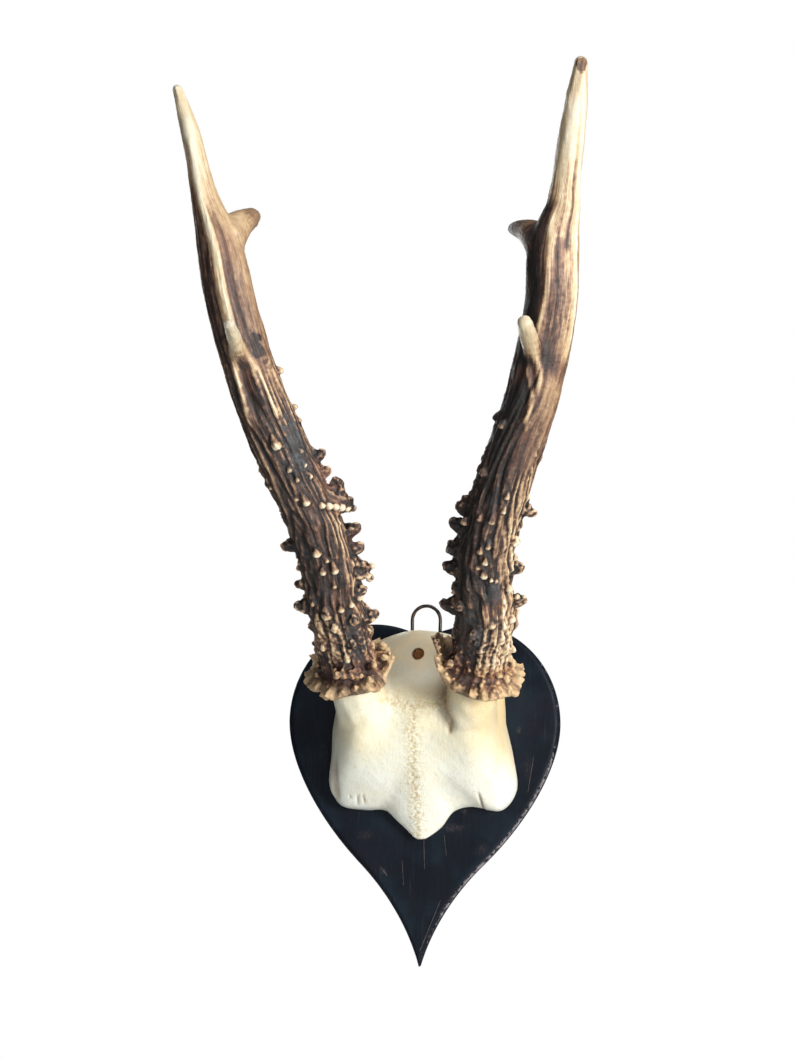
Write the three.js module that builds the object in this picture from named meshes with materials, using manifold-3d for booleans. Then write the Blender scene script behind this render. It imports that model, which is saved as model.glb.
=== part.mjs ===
// Roe deer antler mount: a skull cap with both antlers on a black heart-shaped wooden board.
// Millimetres. +Z is up, +X is to the viewer's right, and the board's flat back lies on y = 0 with the
// viewer on the -Y side. The origin is on that back, on the centre line, where the board is widest.

import * as THREE from "three";
import { mergeVertices } from "three/addons/utils/BufferGeometryUtils.js";
import Module from "manifold-3d";

const wasm = await Module();
wasm.setup();

const point = (x, y, z) => new THREE.Vector3(x, y, z);
const flat = (x, y) => new THREE.Vector2(x, y);
const smoothstep = THREE.MathUtils.smoothstep;
const lerp = THREE.MathUtils.lerp;

// Clearance that every piece keeps to its neighbours
const gap = 0.3;

// Backboard: the outline's right half runs from the notch at the top to the point at the bottom
const boardThickness = 9;
const boardEdgeRound = 2;
const boardNotch = flat(0, 30);
const boardLobeTop = flat(18, 35.1);
const boardWidest = flat(49, 0);
const boardFlank = flat(22, -51);
const boardTip = flat(0, -87.2);

// Skull cap: its lower edge and braincase seen from the front, anticlockwise from the right orbit's rim
const skullOutline = [
  flat(30, 0),
  flat(29, 11),
  flat(25, 21),
  flat(16, 29),
  flat(5, 32.4),
  flat(-6, 32.4),
  flat(-17, 28.5),
  flat(-25, 21),
  flat(-29.5, 11),
  flat(-31.5, 0),
  flat(-32.3, -12),
  flat(-32.8, -24),
  flat(-29, -30.4),
  flat(-20, -31.9),
  flat(-12.5, -32),
  flat(-7, -36.5),
  flat(0, -41.8),
  flat(7, -38),
  flat(12, -31.6),
  flat(18, -29.8),
  flat(29, -31),
  flat(34.4, -24),
  flat(33.2, -13),
];
const skullCentre = flat(0, -8);
const boneEdge = 2.4;
// Height of the bone above the board, down the middle from the top of the dome to the nose
const skullRidge = [
  flat(33, 21),
  flat(24, 21.5),
  flat(15, 25),
  flat(6, 27.6),
  flat(-6, 25.6),
  flat(-17, 20),
  flat(-27, 13),
  flat(-36, 8),
  flat(-42, 4),
];
const templeHollow = 2.6;
const orbitRidge = 1.8;
const pedicleFlare = 4;

// Drilled hole near the top of the dome, and the screw that sits deep in it
const holeX = -0.3;
const holeZ = 23.6;
const holeRadius = 2.1;
const screwHeadRadius = 1.75;
const screwHeadHeight = 1.4;
const screwHeadDepth = 16;
const screwShankRadius = 1.1;
const screwTipDepth = 4;

// Pedicles: the two bony stumps of the skull that carry the antlers
const pedicleRoot = [17.2, -22, -4, 10.5];
const pedicleMiddle = [19, -33, 5.2, 10];
const pedicleTop = [21.5, -42.6, 15.4, 8.6];

// Antlers. A beam station is [x, y, z, radius], from the burr's underside to the tip.
const leftBeam = [
  [-20.4, -40.6, 13.6, 9.4],
  [-24.4, -55, 32, 9.6],
  [-27.6, -70.5, 55, 9.2],
  [-37, -86, 80, 8.9],
  [-46.8, -97.5, 104, 8.7],
  [-54.8, -107, 132, 8.4],
  [-58.9, -111.3, 152, 7.6],
  [-63.7, -115.5, 168, 4.4],
  [-67.2, -121.5, 186, 3],
  [-71.8, -126.5, 201.6, 1.5],
];
const rightBeam = [
  [21.2, -40.6, 13.6, 9.4],
  [25.4, -55, 32, 9.8],
  [26.4, -70, 55, 9.6],
  [34.3, -86, 80, 8.9],
  [43.2, -97.5, 103.5, 8.8],
  [49.4, -107, 132, 8.8],
  [50.4, -111, 151, 8.4],
  [53.3, -114.2, 163.5, 5.7],
  [54, -115.5, 169, 4.8],
  [57, -122, 190, 3.9],
  [59.6, -127, 209, 2],
];
const sidesAround = 18;
const ringsAlong = 45;
const ridgeHeight = 0.55;
// The burr: the knobbly coronet at the foot of each antler
const burrRadius = 16.2;
const burrHeight = 8.5;
const burrOutward = 1.2;
const burrLobes = 7;
const burrLobeDepth = 1.1;

// Tines: [x, y, z, radius] from inside the beam to the tip
const leftTines = {
  front: [
    [-50.6, -100, 110, 5.4],
    [-51.2, -109, 115.2, 4.2],
    [-51.4, -119, 119.4, 2.8],
    [-51.6, -129, 123.6, 1.9],
  ],
  rear: [
    [-57.4, -110.5, 153.5, 7.4],
    [-54.2, -104, 160.1, 5],
    [-52.4, -97, 163.7, 3.7],
    [-51.6, -89.5, 167.2, 2.5],
  ],
};
const rightTines = {
  front: [
    [45.4, -100, 110, 5.6],
    [44.6, -109, 115, 4.6],
    [43.4, -119, 119.6, 3.3],
    [42.2, -129, 124.6, 2.6],
  ],
  rear: [
    [48, -110.5, 150.6, 7],
    [42.9, -104, 156.7, 4.6],
    [38.8, -97, 159.8, 3.1],
    [35, -89, 161.9, 1.5],
  ],
};
const tineSides = 9;
const tineRings = 9;
// Rings that round off the free end of a beam, tine or spur, and how far round the end's ball they reach
const endRings = 3;
const endTurn = 1.35;

// Spurs: the largest lumps, on the inner side of each beam. [distance, root radius, reach, lift], where the
// distance is along the beam from the burr's underside, the reach is from the beam's axis, and the lift is how
// much higher the spur's end is than its root. The left beam's first three make one thorny wing.
const leftSpurs = [
  [73, 4, 13, 0.5],
  [69, 4.4, 14, 0],
  [65, 3.6, 14.8, 0],
  [41.5, 4.6, 13.6, 1],
];
const rightSpurs = [
  [66, 3.2, 13, 0.5],
  [51.5, 3.8, 14, 0.5],
  [46, 3.4, 13, 0],
];
const spurTip = 1.4;

// Pearls: [distance, direction, reach, radius]. The direction is in degrees around the beam, with 0 towards
// the viewer and 90 towards +X, and the reach is how far the pearl stands out from the beam's axis.
const leftPearls = [
  [117, 90, 10.4, 1.7],
  [85.5, 88, 11, 2],
  [79.5, 82, 11, 1.8],
  [57.5, 90, 13, 2.2],
  [51.5, 87, 12.6, 2],
  [38, 72, 12.4, 2],
  [26, 90, 13.2, 2.2],
  [59.5, 272, 12, 2],
  [42, 272, 11.6, 1.9],
  [34, 280, 12.6, 2.3],
  [95, 0, 10.2, 1.9],
  [74, 8, 10.4, 1.8],
  [56, 351, 10.8, 1.9],
  [48.5, 5, 10.8, 1.9],
  [33, 347, 11.4, 2.2],
];
const rightPearls = [
  [99.5, 323, 10.2, 1.8],
  [82.5, 318, 10.8, 1.9],
  [61, 272, 13.2, 2.2],
  [33, 272, 13.4, 2.4],
  [40, 296, 12, 2.1],
  [73, 90, 12, 2],
  [61.5, 80, 11.6, 2],
  [48, 90, 11.6, 2.1],
  [34, 90, 12.8, 2.2],
  [26, 84, 12.8, 2.2],
  [68.5, 7, 10.4, 1.8],
  [57, 359, 10.8, 1.9],
  [47, 12, 11, 2],
];
const pearlStretch = 1.6;

// Hanger: one bent wire whose two legs stand in drilled holes in the board's top edge
const wireRadius = 0.65;
const loopHalfWidth = 5.1;
const loopTop = 42.2;
const loopLegEnd = 21;
const loopY = -boardThickness / 2;

// Materials
const blackPaint = new THREE.MeshStandardMaterial({ color: 0x11131b, roughness: 0.6, metalness: 0 });
const bone = new THREE.MeshStandardMaterial({ color: 0xe6dfc6, roughness: 0.6, metalness: 0 });
const antler = new THREE.MeshStandardMaterial({ color: 0x7a5f44, roughness: 0.7, metalness: 0 });
const iron = new THREE.MeshStandardMaterial({ color: 0x2c2a29, roughness: 0.5, metalness: 0.8 });
const rust = new THREE.MeshStandardMaterial({ color: 0x7a3f1e, roughness: 0.8, metalness: 0.4 });

// A closed three.js geometry as a solid that can be joined and cut
function solid(geometry) {
  const bare = geometry.clone();
  bare.deleteAttribute("normal");
  bare.deleteAttribute("uv");
  const merged = mergeVertices(bare, 1e-3);
  const shape = {
    numProp: 3,
    vertProperties: new Float32Array(merged.attributes.position.array),
    triVerts: new Uint32Array(merged.index.array),
  };
  return new wasm.Manifold(new wasm.Mesh(shape));
}

// The solid as a named mesh
function part(name, body, material) {
  const made = body.getMesh();
  const geometry = new THREE.BufferGeometry();
  geometry.setAttribute("position", new THREE.BufferAttribute(made.vertProperties, 3));
  geometry.setIndex(new THREE.BufferAttribute(made.triVerts, 1));
  geometry.computeVertexNormals();
  const mesh = new THREE.Mesh(geometry, material);
  mesh.name = name;
  return mesh;
}

// Moves every vertex of a geometry to place(vertex)
function reshape(geometry, place) {
  const positions = geometry.attributes.position;
  const vertex = new THREE.Vector3();
  for (let i = 0; i < positions.count; i++) {
    const moved = place(vertex.fromBufferAttribute(positions, i));
    positions.setXYZ(i, moved.x, moved.y, moved.z);
  }
  return geometry;
}

// A round bar along the Y axis direction, from y = front to y = back
function barAlongY(radius, x, z, front, back, sides) {
  const bar = new THREE.CylinderGeometry(radius, radius, back - front, sides);
  return solid(bar.translate(x, (front + back) / 2, z));
}

// A path through the stations, with its length and a station at any fraction of it: centre, radius and frame.
// The frame's "towards" points at the viewer as squarely as the path allows, and "beside" towards +X.
function sweepPath(stations) {
  const axis = new THREE.CatmullRomCurve3(stations.map(([x, y, z]) => point(x, y, z)), false, "centripetal");
  const girth = new THREE.CatmullRomCurve3(stations.map(([, , z, radius]) => point(radius, 0, z)));
  const stationAt = (fraction) => {
    const share = axis.getUtoTmapping(fraction);
    const along = axis.getTangent(share);
    const towards = point(0, -1, 0).addScaledVector(along, along.y).normalize();
    const beside = new THREE.Vector3().crossVectors(along, towards);
    return { centre: axis.getPoint(share), along, towards, beside, radius: girth.getPoint(share).x };
  };
  return { length: axis.getLength(), stationAt };
}

// A closed tube along a path: radiusAt(station, turn, fraction) gives its radius in each direction. Its far end
// is cut square, or is rounded off by rings on a ball of the last station's radius.
function sweep(path, sides, rings, radiusAt, roundEnd) {
  const tube = new THREE.CylinderGeometry(1, 1, 1, sides, rings);
  const tipShare = roundEnd ? path.stationAt(1).radius / path.length : 0;
  const straightRings = roundEnd ? rings - endRings : rings;
  return reshape(tube, (vertex) => {
    const ring = Math.round((vertex.y + 0.5) * rings);
    const endAngle = (Math.max(0, ring - straightRings) / endRings) * endTurn;
    const straight = (Math.min(ring, straightRings) / straightRings) * (1 - tipShare);
    const fraction = straight + tipShare * Math.sin(endAngle);
    const station = path.stationAt(fraction);
    const reach = Math.hypot(vertex.x, vertex.z) * Math.cos(endAngle);
    const turn = Math.atan2(vertex.x, vertex.z);
    const radius = reach * radiusAt(station, turn, fraction);
    return station.centre
      .addScaledVector(station.towards, radius * Math.cos(turn))
      .addScaledVector(station.beside, radius * Math.sin(turn));
  });
}

function makeBackboard() {
  const outline = new THREE.Shape();
  outline.moveTo(boardNotch.x, boardNotch.y);
  outline.bezierCurveTo(4, 32.3, 10, boardLobeTop.y, boardLobeTop.x, boardLobeTop.y);
  outline.bezierCurveTo(36, boardLobeTop.y, boardWidest.x, 18, boardWidest.x, boardWidest.y);
  outline.bezierCurveTo(boardWidest.x, -16, 37, -36, boardFlank.x, boardFlank.y);
  outline.bezierCurveTo(12.5, -60.5, 4, -73, boardTip.x, boardTip.y);
  const half = outline.getPoints(8);
  const mirrored = half.slice(1, -1).reverse().map((p) => flat(-p.x, p.y));
  const whole = new THREE.Shape([...half, ...mirrored]);
  // The first layer is the square edge, and the others are drawn in along a quarter round at the front
  const layers = 5;
  const block = new THREE.ExtrudeGeometry(whole, { depth: layers, steps: layers, bevelEnabled: false });
  reshape(block, (vertex) => {
    const turn = (Math.max(0, vertex.z - 1) / (layers - 1)) * (Math.PI / 2);
    const squareEdge = Math.min(1, vertex.z) * (boardThickness - boardEdgeRound);
    const front = squareEdge + boardEdgeRound * Math.sin(turn);
    const drawnIn = (boardEdgeRound * (1 - Math.cos(turn))) / boardWidest.x;
    return point(vertex.x * (1 - drawnIn), -front, vertex.y * (1 - drawnIn));
  });
  let board = solid(block);
  for (const side of [-1, 1]) {
    const legHole = new THREE.CylinderGeometry(wireRadius + gap, wireRadius + gap, 20, 12);
    legHole.rotateX(Math.PI / 2).translate(side * loopHalfWidth, loopY, loopLegEnd - gap + 10);
    board = board.subtract(solid(legHole));
  }
  const pilotFront = -boardThickness - 1;
  const pilotBack = -boardThickness + screwTipDepth + gap;
  return board.subtract(barAlongY(screwShankRadius + gap, holeX, holeZ, pilotFront, pilotBack, 16));
}

// Height of the bone above the board at a place on the skull, where spread is 0 at the middle and 1 at the edge
const ridgeCurve = new THREE.SplineCurve(skullRidge);
function boneHeight(x, z, spread) {
  const top = skullRidge[0].x;
  const bottom = skullRidge.at(-1).x;
  let low = 0;
  let high = 1;
  while (high - low > 1e-4) {
    const middle = (low + high) / 2;
    if (ridgeCurve.getPoint(middle).x > z) low = middle;
    else high = middle;
  }
  const ridge = z > top || z < bottom ? 4 : ridgeCurve.getPoint(low).y;
  const rounded = Math.sqrt(Math.max(0, 1 - spread ** 4));
  const hollow = templeHollow * Math.exp(-(((Math.abs(x) - 11) / 4) ** 2) - ((z - 12) / 9) ** 2);
  const rim = orbitRidge * Math.exp(-(((Math.abs(x) - 27) / 4) ** 2) - ((z + 14) / 12) ** 2);
  const flare = pedicleFlare * Math.exp(-(((Math.abs(x) - 19) / 9) ** 2) - ((z - 1) / 10) ** 2);
  return boneEdge + (ridge - boneEdge - hollow + rim + flare) * rounded;
}

// The space above a pedicle's flat top, which an antler's foot faces across the gap
function antlerSeat(beam) {
  const foot = sweepPath(beam).stationAt(0);
  const depth = 14;
  const seat = new THREE.CylinderGeometry(15, 15, depth, 24);
  seat.applyQuaternion(new THREE.Quaternion().setFromUnitVectors(point(0, 1, 0), foot.along));
  const middle = foot.centre.addScaledVector(foot.along, depth / 2 - gap);
  return solid(seat.translate(middle.x, middle.y, middle.z));
}

function makeSkullPlate() {
  const edge = new THREE.CatmullRomCurve3(skullOutline.map((p) => point(p.x, 0, p.y)), true, "centripetal");
  edge.arcLengthDivisions = 2000;
  const around = 40;
  const rows = 16;
  const backRows = 2;
  const backFace = -boardThickness - gap;
  const cap = new THREE.SphereGeometry(1, around, rows);
  reshape(cap, (vertex) => {
    const row = (Math.acos(THREE.MathUtils.clamp(vertex.y, -1, 1)) / Math.PI) * rows;
    const onBack = row <= backRows + 1e-6;
    const spread = onBack ? row / backRows : 1 - (row - backRows) / (rows - backRows);
    const turn = (Math.atan2(vertex.z, vertex.x) / (2 * Math.PI) + 1) % 1;
    const rim = edge.getPointAt(turn);
    const x = lerp(skullCentre.x, rim.x, spread);
    const z = lerp(skullCentre.y, rim.z, spread);
    return point(x, onBack && spread < 1 ? backFace : backFace - boneHeight(x, z, spread), z);
  });
  let skull = solid(cap);
  for (const [side, beam] of [[-1, leftBeam], [1, rightBeam]]) {
    const stations = [pedicleRoot, pedicleMiddle, pedicleTop].map(([x, ...rest]) => [side * x, ...rest]);
    const pedicle = solid(sweep(sweepPath(stations), 18, 6, (station) => station.radius, false));
    skull = skull.add(pedicle.subtract(antlerSeat(beam)));
  }
  return skull.subtract(barAlongY(holeRadius, holeX, holeZ, -60, 0, 20));
}

function makeFixingScrew() {
  const headFront = -boardThickness - screwHeadDepth;
  const headBack = headFront + screwHeadHeight;
  const head = barAlongY(screwHeadRadius, holeX, holeZ, headFront, headBack, 20);
  const slot = new THREE.BoxGeometry(2 * screwHeadRadius + 1, 0.9, 0.5);
  slot.rotateY(0.5).translate(holeX, headFront, holeZ);
  const tip = -boardThickness + screwTipDepth;
  const shank = barAlongY(screwShankRadius, holeX, holeZ, headBack - 0.2, tip, 16);
  return head.subtract(solid(slot)).add(shank);
}

// The beam's surface: long ridges all along, and the burr's lobed rim at its foot, wider on the outer side
function beamRadius(length, side) {
  return (station, turn, fraction) => {
    const height = fraction * length;
    const fading = 1 - smoothstep(fraction, 0.6, 0.95);
    const ridges = ridgeHeight * fading * Math.cos(7 * turn + 9 * fraction);
    const rim = smoothstep(height, -1, burrHeight * 0.4) * (1 - smoothstep(height, burrHeight * 0.5, burrHeight));
    const lobes = burrLobeDepth * Math.cos(burrLobes * turn) + side * burrOutward * Math.sin(turn);
    const flare = (burrRadius - station.radius + lobes) * rim;
    return station.radius + ridges + flare;
  };
}

// A direction square to the beam, by its angle around it
function heading(station, degrees) {
  const turn = THREE.MathUtils.degToRad(degrees);
  const ahead = station.towards.clone().multiplyScalar(Math.cos(turn));
  return ahead.addScaledVector(station.beside, Math.sin(turn));
}

function makeAntler({ side, beam, tines, spurs, pearls }) {
  const path = sweepPath(beam);
  let body = solid(sweep(path, sidesAround, ringsAlong, beamRadius(path.length, side), true));
  for (const tine of Object.values(tines)) {
    body = body.add(solid(sweep(sweepPath(tine), tineSides, tineRings, (station) => station.radius, true)));
  }
  for (const [distance, radius, reach, lift] of spurs) {
    const station = path.stationAt(distance / path.length);
    const inward = heading(station, side * -90);
    const root = station.centre.clone().addScaledVector(inward, station.radius * 0.6);
    const end = station.centre.clone().addScaledVector(inward, reach);
    const stations = [[...root, radius], [end.x, end.y, end.z + lift, spurTip]];
    body = body.add(solid(sweep(sweepPath(stations), 7, 5, (place) => place.radius, true)));
  }
  for (const [distance, direction, reach, radius] of pearls) {
    const station = path.stationAt(distance / path.length);
    const outward = heading(station, direction);
    const pearl = new THREE.OctahedronGeometry(radius, 1).scale(pearlStretch, 1, 1);
    pearl.applyQuaternion(new THREE.Quaternion().setFromUnitVectors(point(1, 0, 0), outward));
    const middle = station.centre.addScaledVector(outward, reach - radius * pearlStretch);
    body = body.add(solid(pearl.translate(middle.x, middle.y, middle.z)));
  }
  return body;
}

function makeHangerLoop() {
  const arch = new THREE.CurvePath();
  const shoulder = loopTop - loopHalfWidth;
  const bend = new THREE.CatmullRomCurve3(
    [...Array(9).keys()].map((i) => {
      const turn = (Math.PI * i) / 8;
      return point(-loopHalfWidth * Math.cos(turn), loopY, shoulder + loopHalfWidth * Math.sin(turn));
    }),
  );
  arch.add(new THREE.LineCurve3(point(-loopHalfWidth, loopY, loopLegEnd), point(-loopHalfWidth, loopY, shoulder)));
  arch.add(bend);
  arch.add(new THREE.LineCurve3(point(loopHalfWidth, loopY, shoulder), point(loopHalfWidth, loopY, loopLegEnd)));
  const section = new THREE.Shape().absarc(0, 0, wireRadius, 0, 2 * Math.PI);
  return solid(new THREE.ExtrudeGeometry(section, { steps: 26, extrudePath: arch, curveSegments: 4 }));
}

const mount = new THREE.Group();
mount.add(part("backboard", makeBackboard(), blackPaint));
mount.add(part("skull_plate", makeSkullPlate(), bone));
const leftAntler = { side: -1, beam: leftBeam, tines: leftTines, spurs: leftSpurs, pearls: leftPearls };
const rightAntler = { side: 1, beam: rightBeam, tines: rightTines, spurs: rightSpurs, pearls: rightPearls };
mount.add(part("antler_left", makeAntler(leftAntler), antler));
mount.add(part("antler_right", makeAntler(rightAntler), antler));
mount.add(part("hanger_loop", makeHangerLoop(), iron));
mount.add(part("fixing_screw", makeFixingScrew(), rust));

export default mount;
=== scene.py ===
import math
import bmesh
import bpy
import numpy as np
from mathutils import Matrix


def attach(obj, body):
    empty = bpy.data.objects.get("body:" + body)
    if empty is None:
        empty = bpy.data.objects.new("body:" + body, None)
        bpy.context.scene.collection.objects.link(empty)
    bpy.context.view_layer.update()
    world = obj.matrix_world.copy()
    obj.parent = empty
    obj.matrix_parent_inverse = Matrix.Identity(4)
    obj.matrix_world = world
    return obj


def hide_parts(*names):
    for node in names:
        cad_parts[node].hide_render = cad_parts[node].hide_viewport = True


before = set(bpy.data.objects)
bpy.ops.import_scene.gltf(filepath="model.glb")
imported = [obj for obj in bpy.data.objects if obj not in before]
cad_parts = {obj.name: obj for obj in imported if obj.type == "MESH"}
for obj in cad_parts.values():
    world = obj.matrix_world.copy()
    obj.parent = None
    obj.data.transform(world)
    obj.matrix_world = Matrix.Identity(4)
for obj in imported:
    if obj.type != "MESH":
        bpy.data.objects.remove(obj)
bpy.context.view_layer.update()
mm = 0.001
scene = bpy.context.scene
print("frame loaded:", len(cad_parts), "nodes")


# Small numpy helpers. All shapes are worked out in millimetres, in the frame of the CAD model.

def smoothStep(values, low, high):
    # 0 below low, 1 above high, and 3t^2 - 2t^3 between them
    share = np.clip((values - low) / (high - low), 0, 1)
    return share * share * (3 - 2 * share)


def bump(values, middle, width):
    # a bell that is 1 at the middle and e^-1 at middle +- width
    return np.exp(-((values - middle) / width) ** 2)


def waveField(points, size, seed, waves=36):
    # soft random relief: the sum of many cosines whose directions are random and whose length is about size
    random = np.random.default_rng(seed)
    directions = random.normal(size=(3, waves))
    directions /= np.linalg.norm(directions, axis=0)
    pitch = 2 * math.pi / (size * random.uniform(0.7, 1.5, waves))
    phases = random.uniform(0, 2 * math.pi, waves)
    total = np.cos(points @ (directions * pitch) + phases).sum(axis=-1)
    return total / math.sqrt(waves / 2)


def splineThrough(stations, count):
    # Catmull-Rom curve with centripetal spacing through the stations, cut into count points at equal steps
    stations = np.asarray(stations, float)
    ends = np.vstack([2 * stations[0] - stations[1], stations, 2 * stations[-1] - stations[-2]])
    knots = np.concatenate([[0], np.cumsum(np.linalg.norm(np.diff(ends[:, :3], axis=0), axis=1) ** 0.5)])
    at = np.linspace(knots[1], knots[-2] - 1e-9, count * 4)
    k = np.clip(np.searchsorted(knots, at, side="right") - 1, 1, len(ends) - 3)
    p0, p1, p2, p3 = ends[k - 1], ends[k], ends[k + 1], ends[k + 2]
    t0, t1, t2, t3, t = [x[:, None] for x in (knots[k - 1], knots[k], knots[k + 1], knots[k + 2], at)]
    a1 = (t1 - t) / (t1 - t0) * p0 + (t - t0) / (t1 - t0) * p1
    a2 = (t2 - t) / (t2 - t1) * p1 + (t - t1) / (t2 - t1) * p2
    a3 = (t3 - t) / (t3 - t2) * p2 + (t - t2) / (t3 - t2) * p3
    b1 = (t2 - t) / (t2 - t0) * a1 + (t - t0) / (t2 - t0) * a2
    b2 = (t3 - t) / (t3 - t1) * a2 + (t - t1) / (t3 - t1) * a3
    curve = (t2 - t) / (t2 - t1) * b1 + (t - t1) / (t2 - t1) * b2
    reach = np.concatenate([[0], np.cumsum(np.linalg.norm(np.diff(curve[:, :3], axis=0), axis=1))])
    steps = np.linspace(0, reach[-1], count)
    even = np.stack([np.interp(steps, reach, curve[:, j]) for j in range(curve.shape[1])], axis=1)
    return even, steps


def pathFrames(path):
    # along is the curve's direction, towards faces the viewer as squarely as it can, beside points to +X
    along = np.gradient(path[:, :3], axis=0)
    along /= np.linalg.norm(along, axis=1, keepdims=True)
    towards = np.array([0, -1.0, 0]) + along * along[:, 1:2]
    towards /= np.linalg.norm(towards, axis=1, keepdims=True)
    return along, towards, np.cross(along, towards)


def gridSurface(grid, endCaps=True):
    # a grid of rows x columns points as quads, closed round its columns, with a fan of triangles at each end
    rows, columns = grid.shape[:2]
    corner = np.arange(rows * columns).reshape(rows, columns)
    beyond = np.roll(corner, -1, axis=1)
    quads = np.stack([corner[:-1], beyond[:-1], beyond[1:], corner[1:]], axis=-1).reshape(-1, 4)
    points = grid.reshape(-1, 3)
    fans = np.zeros((0, 3), int)
    if endCaps:
        first, last = rows * columns, rows * columns + 1
        points = np.vstack([points, grid[0].mean(axis=0), grid[-1].mean(axis=0)])
        start = np.stack([beyond[0], corner[0], np.full(columns, first)], axis=-1)
        end = np.stack([corner[-1], beyond[-1], np.full(columns, last)], axis=-1)
        fans = np.vstack([start, end])
    return points, quads, fans


def joinSurfaces(surfaces):
    # several (points, quads, fans) surfaces as one, with their indices moved on
    points, quads, fans, count = [], [], [], 0
    for surface in surfaces:
        points.append(surface[0])
        quads.append(surface[1] + count)
        fans.append(surface[2] + count)
        count += len(surface[0])
    return np.vstack(points), np.vstack(quads), np.vstack(fans)


def makePiece(name, surface):
    # a mesh object from a surface in millimetres, placed in its vertices
    points, quads, fans = surface
    mesh = bpy.data.meshes.new(name)
    mesh.from_pydata((points * mm).tolist(), [], quads.tolist() + fans.tolist())
    mesh.update()
    piece = bpy.data.objects.new(name, mesh)
    scene.collection.objects.link(piece)
    return piece


def applyModifiers(piece):
    # the evaluated mesh takes the place of the piece's own
    graph = bpy.context.evaluated_depsgraph_get()
    finished = bpy.data.meshes.new_from_object(piece.evaluated_get(graph))
    finished.name = piece.name
    piece.modifiers.clear()
    piece.data = finished


def fuse(piece, voxel, smoothing):
    # melts overlapping shells into one skin of equal little squares
    remesh = piece.modifiers.new("fuse", "REMESH")
    remesh.mode = "VOXEL"
    remesh.voxel_size = voxel * mm
    soften = piece.modifiers.new("soften", "SMOOTH")
    soften.factor = 0.5
    soften.iterations = smoothing
    applyModifiers(piece)


def meshEdges(piece):
    edges = np.empty(len(piece.data.edges) * 2, int)
    piece.data.edges.foreach_get("vertices", edges)
    return edges.reshape(-1, 2).T


def dropCrumbs(piece):
    # takes away every bit that hangs free of the largest: neighbours share their lowest number until all
    # agree
    a, b = meshEdges(piece)
    number = np.arange(len(piece.data.vertices))
    while (number[a] != number[b]).any():
        low = np.minimum(number[a], number[b])
        np.minimum.at(number, a, low)
        np.minimum.at(number, b, low)
        number = number[number]
    crumbs = number != np.bincount(number).argmax()
    body = bmesh.new()
    body.from_mesh(piece.data)
    body.verts.ensure_lookup_table()
    bmesh.ops.delete(body, geom=[body.verts[i] for i in np.flatnonzero(crumbs)], context="VERTS")
    body.to_mesh(piece.data)
    body.free()


def moveOut(piece, amounts):
    # shifts each vertex along its normal
    moved = vertexPoints(piece) + vertexNormals(piece) * amounts[:, None]
    piece.data.vertices.foreach_set("co", (moved * mm).ravel())
    piece.data.update()


def neighbourMean(points, edges):
    # the average place of each vertex's neighbours
    a, b = edges
    count = len(points)
    share = np.bincount(a, minlength=count) + np.bincount(b, minlength=count)
    summed = [np.bincount(a, points[b, j], count) + np.bincount(b, points[a, j], count) for j in range(3)]
    return np.stack(summed, axis=1) / share[:, None]


def softenPlaces(piece, weights, rounds):
    # averages each vertex with its neighbours, as strongly as its weight says
    edges = meshEdges(piece)
    points = vertexPoints(piece)
    for _ in range(rounds):
        points += 0.6 * weights[:, None] * (neighbourMean(points, edges) - points)
    piece.data.vertices.foreach_set("co", (points * mm).ravel())
    piece.data.update()


def cutAway(piece, drill):
    # takes a closed surface's volume out of the piece
    drillPiece = makePiece("drill", drill)
    cut = piece.modifiers.new("drill", "BOOLEAN")
    cut.operation = "DIFFERENCE"
    cut.object = drillPiece
    cut.solver = "EXACT"
    applyModifiers(piece)
    bpy.data.objects.remove(drillPiece)


def finishPiece(piece, material, node):
    # smooth shading, its material, and the CAD node that it stands for
    piece.data.polygons.foreach_set("use_smooth", np.ones(len(piece.data.polygons), bool))
    piece.data.update()
    piece.data.materials.append(material)
    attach(piece, "root")
    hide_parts(node)
    print(piece.name, "done:", len(piece.data.polygons), "faces")


def inParts(points):
    # the vertex numbers in 60 shares, so that a table of distances stays small
    return np.array_split(np.arange(len(points)), 60)


def vertexPoints(piece):
    points = np.empty(len(piece.data.vertices) * 3)
    piece.data.vertices.foreach_get("co", points)
    return points.reshape(-1, 3) / mm


def vertexNormals(piece):
    normals = np.empty(len(piece.data.vertices) * 3)
    piece.data.vertices.foreach_get("normal", normals)
    return normals.reshape(-1, 3)


def reliefOf(piece, rounds):
    # how far each vertex stands out from the skin that stays after rounds of averaging with its neighbours
    points = vertexPoints(piece)
    edges = meshEdges(piece)
    smooth = points.copy()
    for _ in range(rounds):
        smooth = 0.5 * smooth + 0.5 * neighbourMean(smooth, edges)
    return np.einsum("ij,ij->i", points - smooth, vertexNormals(piece))


def setFloats(piece, name, values):
    attribute = piece.data.attributes.new(name, "FLOAT", "POINT")
    attribute.data.foreach_set("value", np.asarray(values, np.float32))


def setVectors(piece, name, values):
    attribute = piece.data.attributes.new(name, "FLOAT_VECTOR", "POINT")
    attribute.data.foreach_set("vector", np.asarray(values, np.float32).ravel())


# Node helpers: each adds one node to a material's tree and gives back its output socket

def newMaterial(name, roughness):
    material = bpy.data.materials.new(name)
    material.use_nodes = True
    shader = material.node_tree.nodes["Principled BSDF"]
    shader.inputs["Roughness"].default_value = roughness
    return material, material.node_tree, shader


def plug(tree, socket, value):
    if isinstance(value, bpy.types.NodeSocket):
        tree.links.new(value, socket)
    elif isinstance(value, (tuple, list)) and len(value) == 3 and socket.type == "RGBA":
        socket.default_value = (*value, 1)
    else:
        socket.default_value = value


def attributeOf(tree, name, output="Fac"):
    node = tree.nodes.new("ShaderNodeAttribute")
    node.attribute_name = name
    return node.outputs[output]


def objectPoint(tree):
    return tree.nodes.new("ShaderNodeTexCoord").outputs["Object"]


def scaled(tree, vector, scale):
    node = tree.nodes.new("ShaderNodeVectorMath")
    node.operation = "MULTIPLY"
    plug(tree, node.inputs[0], vector)
    node.inputs[1].default_value = scale
    return node.outputs[0]


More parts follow.
